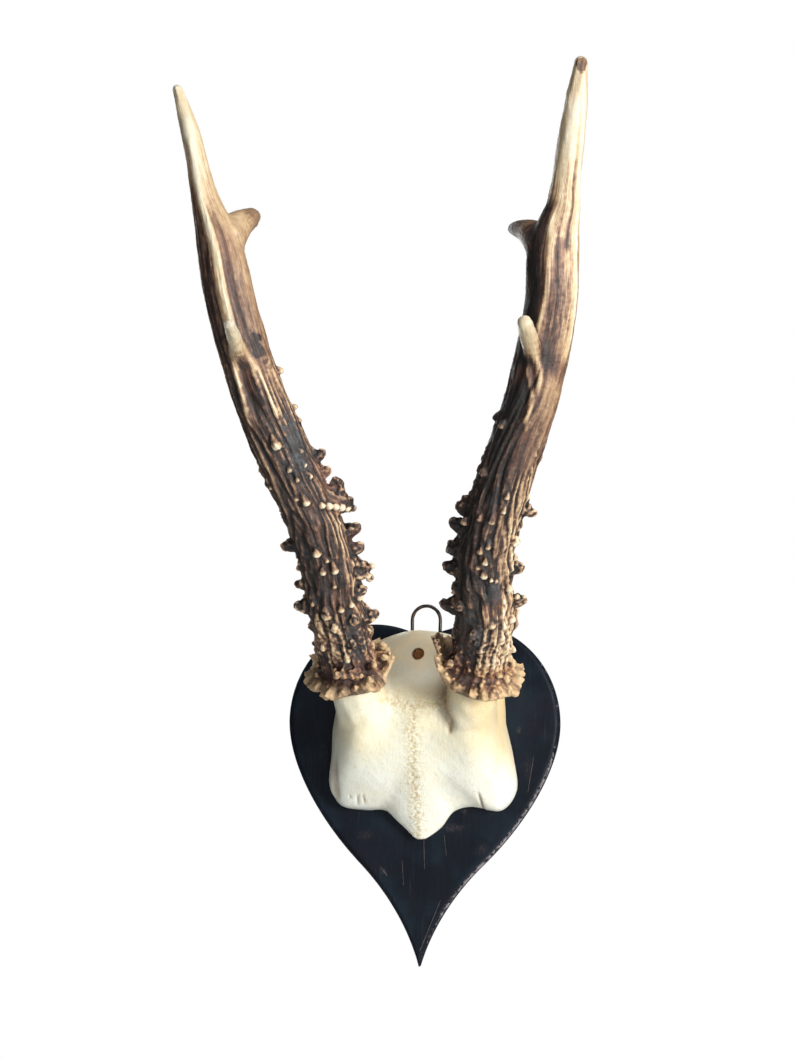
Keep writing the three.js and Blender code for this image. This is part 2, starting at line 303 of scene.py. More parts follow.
def combine(tree, operation, *values):
    node = tree.nodes.new("ShaderNodeMath")
    node.operation = operation
    for socket, value in zip(node.inputs, values):
        plug(tree, socket, value)
    return node.outputs[0]


def times(tree, *values):
    # the product of all the values
    product = values[0]
    for value in values[1:]:
        product = combine(tree, "MULTIPLY", product, value)
    return product


def plus(tree, *values):
    # the sum of all the values
    total = values[0]
    for value in values[1:]:
        total = combine(tree, "ADD", total, value)
    return total


def noise(tree, vector, scale, detail=4.0, roughness=0.55):
    node = tree.nodes.new("ShaderNodeTexNoise")
    plug(tree, node.inputs["Vector"], vector)
    node.inputs["Scale"].default_value = scale
    node.inputs["Detail"].default_value = detail
    node.inputs["Roughness"].default_value = roughness
    return node.outputs["Fac"]


def cells(tree, vector, scale):
    node = tree.nodes.new("ShaderNodeTexVoronoi")
    plug(tree, node.inputs["Vector"], vector)
    node.inputs["Scale"].default_value = scale
    return node.outputs["Distance"]


def spread(tree, value, low, high, toLow=0.0, toHigh=1.0):
    node = tree.nodes.new("ShaderNodeMapRange")
    node.interpolation_type = "SMOOTHSTEP"
    for socket, number in zip(node.inputs, (value, low, high, toLow, toHigh)):
        plug(tree, socket, number)
    return node.outputs["Result"]


def colourRamp(tree, value, stops):
    node = tree.nodes.new("ShaderNodeValToRGB")
    plug(tree, node.inputs["Fac"], value)
    elements = node.color_ramp.elements
    while len(elements) < len(stops):
        elements.new(0.5)
    for element, (place, colour) in zip(elements, stops):
        element.position = place
        element.color = (*colour, 1)
    return node.outputs["Color"]


def blendColours(tree, share, first, second, kind="MIX"):
    node = tree.nodes.new("ShaderNodeMix")
    node.data_type = "RGBA"
    node.blend_type = kind
    plug(tree, node.inputs[0], share)
    plug(tree, node.inputs[6], first)
    plug(tree, node.inputs[7], second)
    return node.outputs[2]


def layered(tree, colour, look, layers):
    # lays colours of the look over one another, each as strongly as its share says
    for share, name in layers:
        colour = blendColours(tree, share, colour, look[name])
    return colour


def addBump(tree, shader, height, strength, distance):
    node = tree.nodes.new("ShaderNodeBump")
    node.inputs["Strength"].default_value = strength
    node.inputs["Distance"].default_value = distance
    plug(tree, node.inputs["Height"], height)
    plug(tree, shader.inputs["Normal"], node.outputs["Normal"])


# Camera: at the photograph's viewing angle, a little to the right of the middle and a little below

cameraSettings = {
    "azimuth": 7.0,
    "elevation": -6.0,
    "roll": 1.2,  # degrees that the object leans to the right in the picture
    "distance": 850.0,  # from the anchor to the lens, along the view
    "anchor": (0.0, -9.0, 0.0),
    "anchorPixel": (423.0, 722.0),
    "pixelsPerUnitSlope": 2361.0,
    "pictureWidth": 794,
    "pictureHeight": 1059,
}


def makeCamera(settings):
    azimuth = math.radians(settings["azimuth"])
    elevation = math.radians(settings["elevation"])
    roll = math.radians(settings["roll"])
    back = np.array([
        math.sin(azimuth) * math.cos(elevation),
        -math.cos(azimuth) * math.cos(elevation),
        math.sin(elevation),
    ])
    level = np.cross([0, 0, 1], back)
    level /= np.linalg.norm(level)
    upright = np.cross(back, level)
    right = level * math.cos(roll) + upright * math.sin(roll)
    up = upright * math.cos(roll) - level * math.sin(roll)
    slope = settings["distance"] / settings["pixelsPerUnitSlope"]
    offRight = (settings["anchorPixel"][0] - settings["pictureWidth"] / 2) * slope
    offUp = (settings["pictureHeight"] / 2 - settings["anchorPixel"][1]) * slope
    place = np.array(settings["anchor"]) - right * offRight - up * offUp + back * settings["distance"]
    data = bpy.data.cameras.new("camera")
    data.sensor_width = 36
    data.lens = 36 * settings["pixelsPerUnitSlope"] / settings["pictureHeight"]
    data.clip_start = 0.01
    data.clip_end = 20
    camera = bpy.data.objects.new("camera", data)
    axes = np.stack([right, up, back], axis=1)
    turned = Matrix(axes.tolist()).to_4x4()
    turned.translation = (place * mm).tolist()
    camera.matrix_world = turned
    scene.collection.objects.link(camera)
    scene.camera = camera


makeCamera(cameraSettings)
print("camera placed")


# Antlers. A station is [x, y, z, radius]. A place on a beam is [height z, direction], with the direction in
# degrees round the beam, 0 towards the viewer and 90 towards +X.

antlerShape = {
    "beamRows": 640,
    "burrRows": 130,
    "beamColumns": 216,
    "tineRows": 90,
    "tineColumns": 60,
    "tineRoots": [(0.42, 8.5), (0.30, 13.0)],  # front and rear: share of the tine's length, softened radius
    "ridges": 19,
    "ridgeDepth": 1.65,
    "fineRidges": 52,
    "fineRidgeDepth": 0.34,
    "knobHeight": 1.1,
    "lumpDepth": 0.34,
    "grainDepth": 0.11,
    "burrRadius": 15.0,
    "burrHeight": 9.0,
    "burrOutward": 1.2,
    "burrFins": 46,
    "scatteredPearls": 70,
    "rimBeads": 74,
    "dishLumps": 26,
    "voxel": 0.4,
    "smoothing": 2,
    "rootRounds": 30,
}

leftAntler = {
    "name": "antlerLeft",
    "node": "antler_left",
    "side": -1,
    "seed": 11,
    "beam": [
        [-20.4, -40.6, 13.6, 9.4], [-24.4, -55, 32, 9.2], [-27.6, -70.5, 55, 8.9], [-37, -86, 80, 8.7],
        [-46.8, -97.5, 104, 8.5], [-54.8, -107, 132, 8.2], [-58.9, -111.3, 152, 7.4],
        [-63.7, -115.5, 168, 4.4], [-67.2, -121.5, 186, 3.1], [-71.6, -126.4, 201.4, 1.4],
    ],
    "tines": [
        [
            [-50.8, -101, 111, 3.5], [-51.3, -109, 115.6, 3.0], [-51.5, -118, 119.3, 2.4],
            [-51.6, -128.8, 123, 1.6],
        ],
        [
            [-57.6, -110.5, 153.5, 7.3], [-54.3, -104, 160, 5.1], [-52.4, -97, 163.8, 3.7],
            [-51.6, -89.6, 167, 2.5],
        ],
    ],
    "tineTones": [0.42, -0.12],
    "pearls": [  # height, direction, radius, stand (how far the middle is above the skin), tail, paleness
        [90.6, 0, 1.8, 0.6, 2.6, 1.0], [86, 43, 0.9, 0.4, 2, 0.9], [82.5, 37, 1.1, 0.4, 3, 0.9],
        [82.9, 4, 1.1, 0.5, 2, 0.8], [78.9, 40, 0.8, 0.4, 2.4, 0.9], [79.8, 11, 0.8, 0.3, 3, 0.6],
        [74.9, -7, 0.9, 0.3, 4, 0.7], [73.1, 8, 1.4, 0.6, 4, 1.0], [58.8, -9, 1.6, 0.8, 1.6, 1.0],
        [55.7, 6, 0.8, 0.4, 2.6, 0.9], [52.6, -7, 1.3, 0.7, 1.6, 1.0], [52.4, 17, 1.4, 0.7, 3, 1.0],
        [47.6, 12, 0.9, 0.3, 7, 0.6], [41.4, 67, 1.5, 1.0, 1.4, 0.8], [40.5, 44, 1.1, 0.7, 1.5, 0.9],
        [40.9, 17, 1.2, 0.6, 1.6, 0.8], [39.1, -13, 1.9, 0.5, 2.5, 0.45], [61.4, -84, 2.0, 1.3, 1.3, 0.0],
        [47.2, -82, 1.7, 1.1, 1.6, 0.1], [40.5, -78, 2.2, 1.4, 1.4, 0.1], [82.5, 92, 1.7, 1.6, 1.3, 0.25],
        [77.5, 86, 1.6, 1.6, 1.3, 0.1], [59.7, 92, 2.0, 2.2, 1.3, 0.2], [54.8, 88, 2.0, 1.7, 1.3, 0.5],
        [36, 39, 1.8, 0.8, 1.5, 0.2], [34.7, -2, 1.7, 0.7, 1.5, 0.5], [29.1, 23, 1.7, 0.8, 1.4, 0.1],
        [21.4, -9, 1.6, 1.6, 1.8, 0.35], [20.2, 11, 1.7, 1.8, 1.6, 0.3], [18.8, 28, 1.4, 2.6, 1.4, 0.3],
        [20.4, 42, 1.3, 2.2, 1.3, 0.1], [33.8, 92, 1.8, 2.2, 1.3, 0.1], [43.6, 76, 1.6, 1.2, 1.4, 0.1],
        [109.3, 92, 1.4, 1.0, 1.3, 0.3], [97, 94, 1.0, 0.6, 1.4, 0.1], [93, 88, 0.9, 0.5, 1.5, 0.1],
        [48.6, 92, 1.3, 4.3, 1.2, 0.8], [44.9, 97, 1.5, 3.0, 1.2, 0.0], [46.8, 84, 1.3, 3.2, 1.3, 0.7],
        [49.8, 84, 1.2, 2.6, 1.3, 0.1],
    ],
    "spurs": [  # each is a path of [height, direction, reach, radius]
        [[71, 66, 4, 5.4], [68.6, 82, 9, 4.6], [66, 91, 12.3, 3.2], [64.6, 96, 14.2, 1.6]],
        [[68.0, 84, 9.4, 3.8], [71.2, 92, 11.8, 2.7], [74.2, 95, 13.0, 0.9]],
        [[51, 76, 4, 5.2], [48.3, 90, 10, 3.7], [46.5, 96, 13.2, 2.3]],
    ],
    "beadRow": [  # height, direction, reach, radius
        [70.4, 35, 9.9, 1.2], [69.1, 48, 10.3, 1.4], [67.8, 60, 10.9, 1.3], [66.5, 72, 11.6, 1.4],
        [65.2, 83, 12.5, 1.3], [64.0, 93, 13.7, 1.3],
    ],
    "burrEars": [[80, 30, 3.6, 0.6]],  # lobes that stand up: direction, half width in degrees, lift, reach
    "calm": [  # smooth, evenly coloured bands: places upwards, half width
        ([[112, 46], [127, 46], [142, 44], [156, 50]], 7.5), ([[150, 75], [172, 75]], 7.0),
    ],
    "lines": [  # [height, direction] places upwards, half width, rise above the skin, lightness
        ([[119, -12], [130, -5], [148, -4], [161, -6], [172, -6], [190, 3]], 1.7, 0.7, 0.42),
        ([[98, -36], [104, -29], [109, -25], [116, -22], [122, -20]], 1.1, 0.9, 0.42),
        ([[97, 32], [106, 24], [109, 22], [115, 16], [120, 7]], 1.1, 0.8, 0.36),
        # darkened in the groove between the two pale ridges: painted shade
        ([[101, -14], [109, -10], [118, -5]], 2.3, -0.9, -0.16),
        ([[124, 22], [140, 18], [150, 20], [163, 16]], 1.5, -0.4, -0.08),
        # the left flank is darkened: partly its real brown, partly painted shade, as it turns away from the
        # key light
        ([[94, -62], [130, -54], [148, -50], [166, -54], [184, -62]], 4.6, -0.2, -0.24),
        ([[104, 52], [127, 46], [142, 46], [160, 56]], 7.0, 0.05, 0.03),
        ([[126, 8], [140, 9], [152, 8], [164, 6]], 0.45, -0.12, -0.26),
        ([[120, 26], [138, 25], [158, 22]], 0.4, -0.1, -0.22),
        ([[46, 66], [62, 58], [76, 60], [92, 66]], 3.4, 0.1, 0.13),
    ],
    "patches": [  # height, direction, half length, half width, lightness, tint (red above 0, grey below)
        [119.5, 41, 4.2, 2.4, -0.36, 0.2], [116, 48, 2.4, 1.5, -0.3, 0.2], [88.5, 42, 8, 3.4, -0.25, -0.9],
        [84, 14, 4, 3, -0.16, -0.4], [106, 60, 9, 4, 0.12, 0], [150, 20, 16, 2.6, -0.04, 0.9],
        [132, 22, 10, 2.6, -0.04, 0.8], [104, 4, 8, 5, -0.16, 0.2], [35, -22, 9, 2.6, 0.08, 0],
        [30, 40, 8, 3.5, -0.22, -0.3], [62, 10, 14, 5, 0.02, 0.6], [46, -12, 7, 6, -0.12, 0],
        # at the burr: darker to the left and front, partly soot and partly painted shade, and a little
        # lighter on the right, a painted light
        [20, -50, 6, 7, -0.22, 0], [20, 5, 5, 5, -0.16, 0], [20, 85, 6, 6, 0.06, 0],
    ],
}

rightAntler = {
    "name": "antlerRight",
    "node": "antler_right",
    "side": 1,
    "seed": 23,
    "beam": [
        [21.2, -40.6, 13.6, 9.4], [25.4, -55, 32, 9.4], [26.4, -70, 55, 9.3], [34.3, -86, 80, 8.7],
        [43.2, -97.5, 103.5, 8.6], [49.4, -107, 132, 8.6], [50.4, -111, 151, 8.2],
        [53.5, -114.2, 163.5, 5.5], [54.1, -115.5, 169, 4.7], [57, -122, 190, 4.0], [59.4, -127, 208.6, 1.95],
    ],
    "tines": [
        [
            [45.2, -101, 111.5, 3.6], [44.5, -109, 115.8, 3.3], [43.4, -118, 119.8, 2.9],
            [42.3, -128.6, 123.6, 2.3],
        ],
        [[48.2, -110.5, 150.6, 7], [43, -104, 156.6, 4.7], [38.8, -97, 159.7, 3.1], [35, -89.4, 161.7, 1.5]],
    ],
    "tineTones": [0.36, -0.26],
    "pearls": [
        [94.7, -37, 1.3, 0.6, 2, 0.6], [80.3, -42, 1.5, 0.8, 2, 0.3], [67.3, -84, 2.0, 1.6, 1.3, 0.6],
        [62.8, -84, 2.1, 1.4, 1.3, 0.1], [65.1, -52, 1.4, 1.0, 1.5, 0.7], [54.7, -84, 1.8, 2.6, 1.4, 0.1],
        [51, -85, 2.1, 2.0, 1.2, 0.0], [39.8, -86, 2.3, 2.0, 1.2, 0.0], [41.2, -47, 1.9, 1.0, 1.4, 0.2],
        [45.8, -66, 1.8, 1.0, 1.4, 0.0], [76.7, 23, 1.0, 0.4, 2.4, 0.5], [72.6, 25, 0.9, 0.4, 3, 0.7],
        [69.1, 7, 1.3, 0.5, 3, 0.6], [72.6, 90, 1.6, 1.8, 1.2, 0.4], [65.5, 92, 1.1, 0.9, 1.4, 0.3],
        [63.3, 72, 1.6, 1.2, 1.2, 0.5], [52.4, 92, 1.8, 1.0, 1.5, 0.2], [40.7, 92, 1.8, 2.0, 1.2, 0.3],
        [61.5, 12, 1.1, 0.5, 2.4, 0.6], [57, 10, 1.2, 0.6, 1.8, 0.9], [54.7, -3, 1.0, 0.5, 1.8, 0.5],
        [52.4, 8, 1.4, 0.7, 2.4, 1.0], [51, 21, 0.8, 0.5, 1.4, 1.0], [50.5, 31, 0.8, 0.5, 1.4, 0.9],
        [59.7, -1, 1.2, 0.5, 1.8, 0.5], [68.2, -19, 1.2, 0.5, 2, 0.3], [85, -88, 1.3, 0.3, 2.4, 0.0],
        [94, -90, 1.2, 0.2, 2.4, 0.0], [102, -88, 1.0, 0.2, 2, 0.0], [46, 60, 1.4, 0.6, 1.4, 0.2],
        [36, 20, 1.4, 0.6, 1.6, 0.4], [33, -15, 1.7, 0.8, 1.5, 0.1], [36, 70, 1.6, 0.8, 1.4, 0.3],
        [31, 48, 1.4, 0.8, 1.4, 0.5], [29, 5, 1.4, 0.7, 1.4, 0.1], [56, 84, 1.2, 0.8, 1.5, 0.3],
    ],
    "spurs": [
        [[70, -78, 5, 3.8], [68, -86, 10, 2.7], [67.4, -86, 12.2, 1.8]],
        [[58, -78, 5, 4.6], [55.5, -86, 10.5, 2.8], [54.6, -86, 13, 1.6]],
        [[50, -78, 5, 4.4], [50.5, -86, 10.5, 2.7], [51, -86, 12.4, 1.9]],
    ],
    "beadRow": [],
    "burrEars": [[-78, 38, 12.0, 2.4]],
    "calm": [
        ([[84, 45], [98, 50], [112, 46], [124, 40]], 6.5), ([[124, -70], [150, -62], [166, -66]], 7.0),
    ],
    "lines": [
        ([[116, 64], [126, 70], [147, 64], [166, 76], [187, 51], [203, 34]], 0.9, 0.4, 0.2),
        ([[112, 0], [126, -14], [138, -7], [152, -2], [161, -18]], 1.2, 0.7, 0.27),
        ([[114, 28], [131, 21], [143, 17], [154, 20]], 2.8, -0.3, -0.22),
        ([[150, 38], [162, 42], [178, 44]], 1.5, -0.25, -0.2),
        # painted shade: the inner face, which turns to the left away from the key light, is darkened
        ([[104, -58], [124, -52], [140, -50], [156, -62], [164, -72]], 6.0, -0.3, -0.46),
        # the left flank up to the tip is darkened: partly its real brown, partly painted shade
        ([[160, -60], [185, -66], [204, -60]], 3.2, 0, -0.12),
        ([[97, 12], [101, 9], [106, 4], [113, -17], [120, -24]], 1.1, 0.9, 0.3),
        ([[108, 14], [114, 9], [119, -8]], 1.0, 0.8, 0.32),
        # darkened in the groove between the two pale ridges: painted shade
        ([[104, -4], [112, -5], [117, -14]], 1.4, -0.9, -0.2),
        # painted shade on the lower left flank, turned away from the key light
        ([[26, -62], [60, -54], [90, -56], [108, -60]], 7.0, -0.1, -0.2),
        # the right flank is made lighter: partly its real sandy colour, partly painted light where it faces
        # the key light
        ([[22, 50], [46, 52], [70, 54], [92, 60], [112, 48]], 5.4, 0.1, 0.24),
        # painted shade on the left front of the beam
        ([[78, -34], [98, -30], [118, -38]], 5.0, 0.0, -0.22),
        # the upper right side is made lighter: partly real cream, partly painted light where it faces the key
        # light
        ([[118, 46], [150, 36], [176, 40], [196, 30]], 6.0, 0.0, 0.2),
        ([[150, 36], [170, 40], [192, 38]], 0.45, -0.1, -0.3),
        ([[146, 14], [165, 10], [178, 8]], 0.45, -0.1, -0.22),
    ],
    "patches": [
        [73, -2, 5, 2.4, -0.25, -0.4], [46, 25, 4, 3, -0.26, -0.9], [24, 50, 12, 9, 0.08, 0],
        [31, -30, 8, 6, -0.26, -0.5], [206, 0, 2.2, 2.4, -0.5, 0], [140, 2, 16, 3.4, -0.03, 0.8],
        [158, 26, 12, 2.0, -0.06, 0.7], [118, 16, 8, 3, -0.06, 0.3],
        # at the burr: darker to the front and left, a painted shade, and lighter on the right, a painted
        # light where it faces the key light
        [20, -10, 6, 4, -0.2, 0], [20, -85, 7, 5, -0.12, 0], [20, 65, 6, 9, 0.2, 0],
    ],
}


def onBeam(path, frames, heights, directions):
    # the beam's middle and the outward, along and across directions at these heights and directions
    heights = np.asarray(heights, float)
    row = np.clip(np.searchsorted(path[:, 2], heights), 0, len(path) - 1)
    turn = np.radians(np.asarray(directions, float))[:, None]
    along, towards, beside = (axis[row] for axis in frames)
    outward = towards * np.cos(turn) + beside * np.sin(turn)
    return path[row, :3], outward, along, np.cross(along, outward), row


def roundBeam(turn, aim, girth):
    # the signed distance in mm from the direction aim, round a beam of the radius girth
    return ((turn - aim + math.pi) % (2 * math.pi) - math.pi) * girth


def lineMask(line, height, turn, girth):
    # a bell across a line that follows the beam, which fades out over 4 mm at both its ends
    places, halfWidth = np.array(line[0], float), line[1]
    aim = np.radians(np.interp(height, places[:, 0], places[:, 1]))
    low, high = places[0, 0], places[-1, 0]
    ends = smoothStep(height, low - 3, low + 3) * (1 - smoothStep(height, high - 3, high + 3))
    return np.exp(-(roundBeam(turn, aim, girth) / halfWidth) ** 2) * ends


def calmOf(antler, height, turn, girth):
    # 1 where the horn is smooth and evenly coloured
    calm = 0 * turn * height
    for line in antler["calm"]:
        calm = np.maximum(calm, lineMask(line, height, turn, girth))
    return calm


def beamSurface(antler, shape):
    # the skin of the beam: the station's radius, plus long ridges with sharp grooves between them, knobs on
    # the ridges low down, lumps and grain that fade upwards, and the flared burr with its fins and lobes
    path, steps = splineThrough(antler["beam"], 2400)
    length = steps[-1]
    rows = np.concatenate([
        np.linspace(0, 14, shape["burrRows"], endpoint=False),
        np.linspace(14, length, shape["beamRows"]),
    ])
    path = np.stack([np.interp(rows, steps, path[:, j]) for j in range(4)], axis=1)
    along, towards, beside = pathFrames(path)
    turn = np.linspace(-math.pi, math.pi, shape["beamColumns"], endpoint=False)[None, :]
    reach = rows[:, None]
    height = path[:, 2][:, None]
    radius = path[:, 3][:, None] * np.ones_like(turn)
    tight = np.stack(np.broadcast_arrays(9 * np.cos(turn), 9 * np.sin(turn), reach), axis=-1)
    drawn = tight * np.array([1, 1, 0.2])  # the same place, but stretched along the beam
    ring = tight * np.array([1, 1, 0])
    seed = antler["seed"]

    # the round end at the tip
    endRadius = path[-1, 3]
    intoEnd = np.clip((reach - (length - endRadius)) / endRadius, 0, 0.999)
    radius = radius * np.sqrt(1 - intoEnd ** 2)

    # long ridges
    wander = 0.5 * waveField(drawn, 15, seed) + 0.2 * waveField(drawn, 5, seed + 1)
    phase = shape["ridges"] * turn / (2 * math.pi) + wander
    saw = np.abs(2 * (phase % 1) - 1)
    strength = 0.35 + 0.75 * smoothStep(waveField(drawn, 8, seed + 2), -1.2, 1.2)
    ridgeZone = smoothStep(height, 15, 24) * (1 - 0.72 * smoothStep(height, 104, 128))
    calm = calmOf(antler, height, turn, path[:, 3][:, None])
    ridgeZone = ridgeZone * (1 - smoothStep(height, 148, 178)) * (1 - 0.8 * calm)
    relief = (0.35 - saw ** 3.2) * shape["ridgeDepth"] * strength * ridgeZone
    fineSaw = np.abs(2 * ((shape["fineRidges"] * turn / (2 * math.pi) + 2.2 * wander) % 1) - 1)
    fineZone = smoothStep(height, 14, 26) * (1 - 0.6 * smoothStep(height, 108, 130))
    fineZone = fineZone * (1 - smoothStep(height, 160, 186)) * (1 - 0.6 * calm)
    relief = relief + (0.5 - fineSaw) * shape["fineRidgeDepth"] * fineZone

    # knobs sit on the ridges, thick near the burr and thinning out upwards, more of them on the two sides
    rough = smoothStep(height, 12, 22) * (1 - smoothStep(height, 42, 100))
    sides = smoothStep(np.abs(np.sin(turn)), 0.6, 0.95)
    crowd = (1 - smoothStep(height, 27, 44)) + 0.8 * sides * (1 - smoothStep(height, 70, 105))
    knobs = smoothStep(waveField(tight * np.array([1, 1, 0.62]), 2.9, seed + 9), 0.75, 1.9)
    knobZone = np.minimum(crowd, 1.2) * smoothStep(height, 15, 20)
    relief = relief + knobs * (1.1 - saw) * shape["knobHeight"] * knobZone
    lumps = waveField(tight * np.array([1, 1, 0.6]), 6, seed + 3)
    relief = relief + lumps * shape["lumpDepth"] * (0.25 + rough)
    grainZone = (0.25 + 0.9 * (1 - smoothStep(height, 40, 118))) * (1 - 0.6 * calm)
    grain = waveField(tight * np.array([1, 1, 0.35]), 1.7, seed + 4) * shape["grainDepth"] * grainZone
    relief = relief + grain * (1 - smoothStep(height, 150, 175))
    for line in antler["lines"]:
        relief = relief + line[2] * lineMask(line, height, turn, path[:, 3][:, None])
    relief = relief * np.sqrt(1 - intoEnd ** 2)

    # burr: a collar of thin fins that run outwards, with a lobed and finely notched rim, and its raised ears
    rise = smoothStep(reach, -0.6, shape["burrHeight"] * 0.36)
    fall = 1 - smoothStep(reach, shape["burrHeight"] * 0.4, shape["burrHeight"])
    rim = rise * fall ** 1.3
    ears = 0 * turn
    for direction, halfWidth, lift, reachOut in antler["burrEars"]:
        off = roundBeam(turn, math.radians(direction), 57.3) / halfWidth
        ears = ears + np.exp(-off ** 2) * np.array([[[lift]], [[reachOut]]])
    lobes = 0.75 * waveField(ring, 6, seed + 6) + 0.5 * waveField(ring, 2.6, seed + 12) + ears[1]
    outer = antler["side"] * shape["burrOutward"] * np.sin(turn)
    flare = np.maximum(shape["burrRadius"] - path[:, 3][:, None] + lobes + outer, 2) * rim
    finPhase = shape["burrFins"] * turn / (2 * math.pi) + 0.9 * waveField(ring, 5, seed + 7)
    fins = 0.5 - np.abs(2 * (finPhase % 1) - 1) ** 1.4
    finDepth = 0.75 + 0.4 * waveField(ring, 3, seed + 14)
    fins = fins * np.maximum(finDepth, 0.25) * smoothStep(rim, 0.1, 0.7)
    notches = 0.45 * waveField(ring, 1.5, seed + 15) * smoothStep(rim, 0.3, 0.9)
    radius = radius + relief + flare + fins + notches
    across = towards[:, None] * np.cos(turn)[..., None] + beside[:, None] * np.sin(turn)[..., None]
    grid = path[:, None, :3] + radius[..., None] * across
    curl = rim * (0.7 + 0.9 * waveField(ring, 6.5, seed + 8)) + fins * 1.2 + rim * ears[0]
    curl = curl + notches
    grid = grid + along[:, None] * (curl * smoothStep(radius, 10.5, 15))[..., None]
    return grid, radius, path, (along, towards, beside)


def hornSurface(stations, shape, seed, roughness, flatness=1.0):
    # a rounded horn along a path: the station's radius, closed by a half ball at its end, with long shallow
    # furrows and soft lumps; flatness below 1 makes it thinner towards the viewer
    path, steps = splineThrough(stations, shape["tineRows"])
    towards, beside = pathFrames(path)[1:]
    turn = np.linspace(-math.pi, math.pi, shape["tineColumns"], endpoint=False)[None, :]
    reach = steps[:, None]
    endRadius = path[-1, 3]
    intoEnd = np.clip((reach - (steps[-1] - endRadius)) / endRadius, 0, 0.999)
    tight = np.stack(np.broadcast_arrays(4 * np.cos(turn), 4 * np.sin(turn), reach), axis=-1)
    furrows = waveField(tight * np.array([1, 1, 0.15]), 2.6, seed)
    lumps = waveField(tight, 3.2, seed + 1)
    radius = path[:, 3][:, None] + roughness * (0.6 * furrows + 0.8 * lumps)
    radius = radius * np.sqrt(1 - intoEnd ** 2)
    across = flatness * towards[:, None] * np.cos(turn)[..., None] + beside[:, None] * np.sin(turn)[..., None]
    return path[:, None, :3] + radius[..., None] * across


def pearlSurfaces(middles, outward, along, across, radii, tails):
    # one small bead for each pearl: flattened below, and drawn out above into a tail that narrows and sinks
    rings, columns = 9, 12
    polar = np.linspace(0, math.pi, rings + 2)[1:-1][:, None]
    turn = np.linspace(0, 2 * math.pi, columns, endpoint=False)[None, :]
    up = np.cos(polar) * np.ones_like(turn)
    upper = np.maximum(up, 0)
    side = np.sin(polar) * np.cos(turn) * (1 - 0.4 * upper)
    out = np.sin(polar) * np.sin(turn) * (1 - 0.3 * upper)
    tail = np.where(up > 0, tails[:, None, None] * up, 0.8 * up)
    sink = 0.3 * (tails[:, None, None] - 1) * upper ** 2
    size = radii[:, None, None, None]
    balls = middles[:, None, None] + size * (
        across[:, None, None] * side[None, ..., None]
        + outward[:, None, None] * (out[None] - sink)[..., None]
        + along[:, None, None] * tail[..., None]
    )
    return [gridSurface(ball[::-1]) for ball in balls]


def pearlTable(antler, scatteredCount):
    # the pearls that the photograph shows, two small ones round each big one on the beam's sides, and small
    # ones scattered where the beam is rough but not over its bare front
    random = np.random.default_rng(antler["seed"])
    chosen = np.array(antler["pearls"], float)
    chosen[:, 5] -= 0.35 * (chosen[:, 5] < 0.15)
    big = chosen[(np.abs(chosen[:, 1]) > 60) & (chosen[:, 2] > 1.5)]
    beside = np.repeat(big, 2, axis=0)
    count = len(beside)
    beside[:, 0] += random.uniform(-2.2, 2.2, count)
    beside[:, 1] += random.uniform(-12, 12, count)
    beside[:, 2] *= random.uniform(0.4, 0.65, count)
    beside[:, 3] += random.uniform(-0.8, 0.5, count)
    beside[:, 5] = -0.35 + 0.9 * random.uniform(0, 1, count) ** 3
    count = scatteredCount
    heights = 24 + 88 * random.beta(1.0, 2.4, count)
    directions = random.uniform(-180, 180, count)
    low = 1 - smoothStep(heights, 36, 92)
    radii = random.uniform(0.45, 0.75, count) + 0.5 * low * random.uniform(0, 1, count)
    pale = random.uniform(0, 1, count) ** 4
    tails = random.uniform(1.4, 4, count)
    scattered = np.stack([heights, directions, radii, 0.4 * radii, tails, pale], axis=1)
    bareFront = (np.abs(directions) < 58) & (heights > 44)
    return np.vstack([chosen, beside, scattered[~bareFront]])


def columnAt(radius, directions):
    # the column of the beam's grid in these directions
    columns = radius.shape[1]
    return ((np.radians(directions) + math.pi) / (2 * math.pi) * columns).astype(int) % columns


def sideSpurs(antler, shape, path, frames):
    # flattened horns that leave the beam's side along their marks, and four places down the end of each
    horns, ends = [], []
    for k, spur in enumerate(antler["spurs"]):
        marks = np.array(spur, float)
        middles, outward = onBeam(path, frames, marks[:, 0], marks[:, 1])[:2]
        stations = np.column_stack([middles + outward * marks[:, 2:3], marks[:, 3]])
        tip = stations[-1:, :3]
        ends.append(tip + (stations[-2:-1, :3] - tip) * np.linspace(0, 1, 4)[:, None])
        horns.append(gridSurface(hornSurface(stations, shape, antler["seed"] + 40 + k, 0.45, 0.66)))
    return horns, ends


def sideThorns(antler, shape, path, frames, radius, table):
    # short hooked horns, thick at the foot and bent upwards, and their places with size and paleness
    horns, heads = [], []
    for k, (height, direction, size, stand, tail, pale) in enumerate(table):
        middle, outward, along, across, row = onBeam(path, frames, [height], [direction])
        out = skinAt(radius, row, direction) + np.array([-1.2, 0, 0.6, 0.9]) * size
        out = out + np.array([0, 0.4, 1, 1]) * stand
        lift = np.array([-1.0, -0.5, -0.1, 0.6]) * size
        thorn = middle + outward * out[:, None] + along * lift[:, None]
        sizes = size * np.array([1.5, 1.25, 1.0, 0.65])
        stations = np.column_stack([thorn, sizes])
        horns.append(gridSurface(hornSurface(stations, shape, antler["seed"] + 60 + k, 0.28, 0.8)))
        heads.append(np.column_stack([thorn, sizes * 1.2, [-0.6, -0.6, -0.5, pale]]))
    return horns, heads


def skinAt(radius, row, directions):
    # the radius of the beam's skin on a row of its grid, in these directions
    return radius[row, columnAt(radius, directions)]


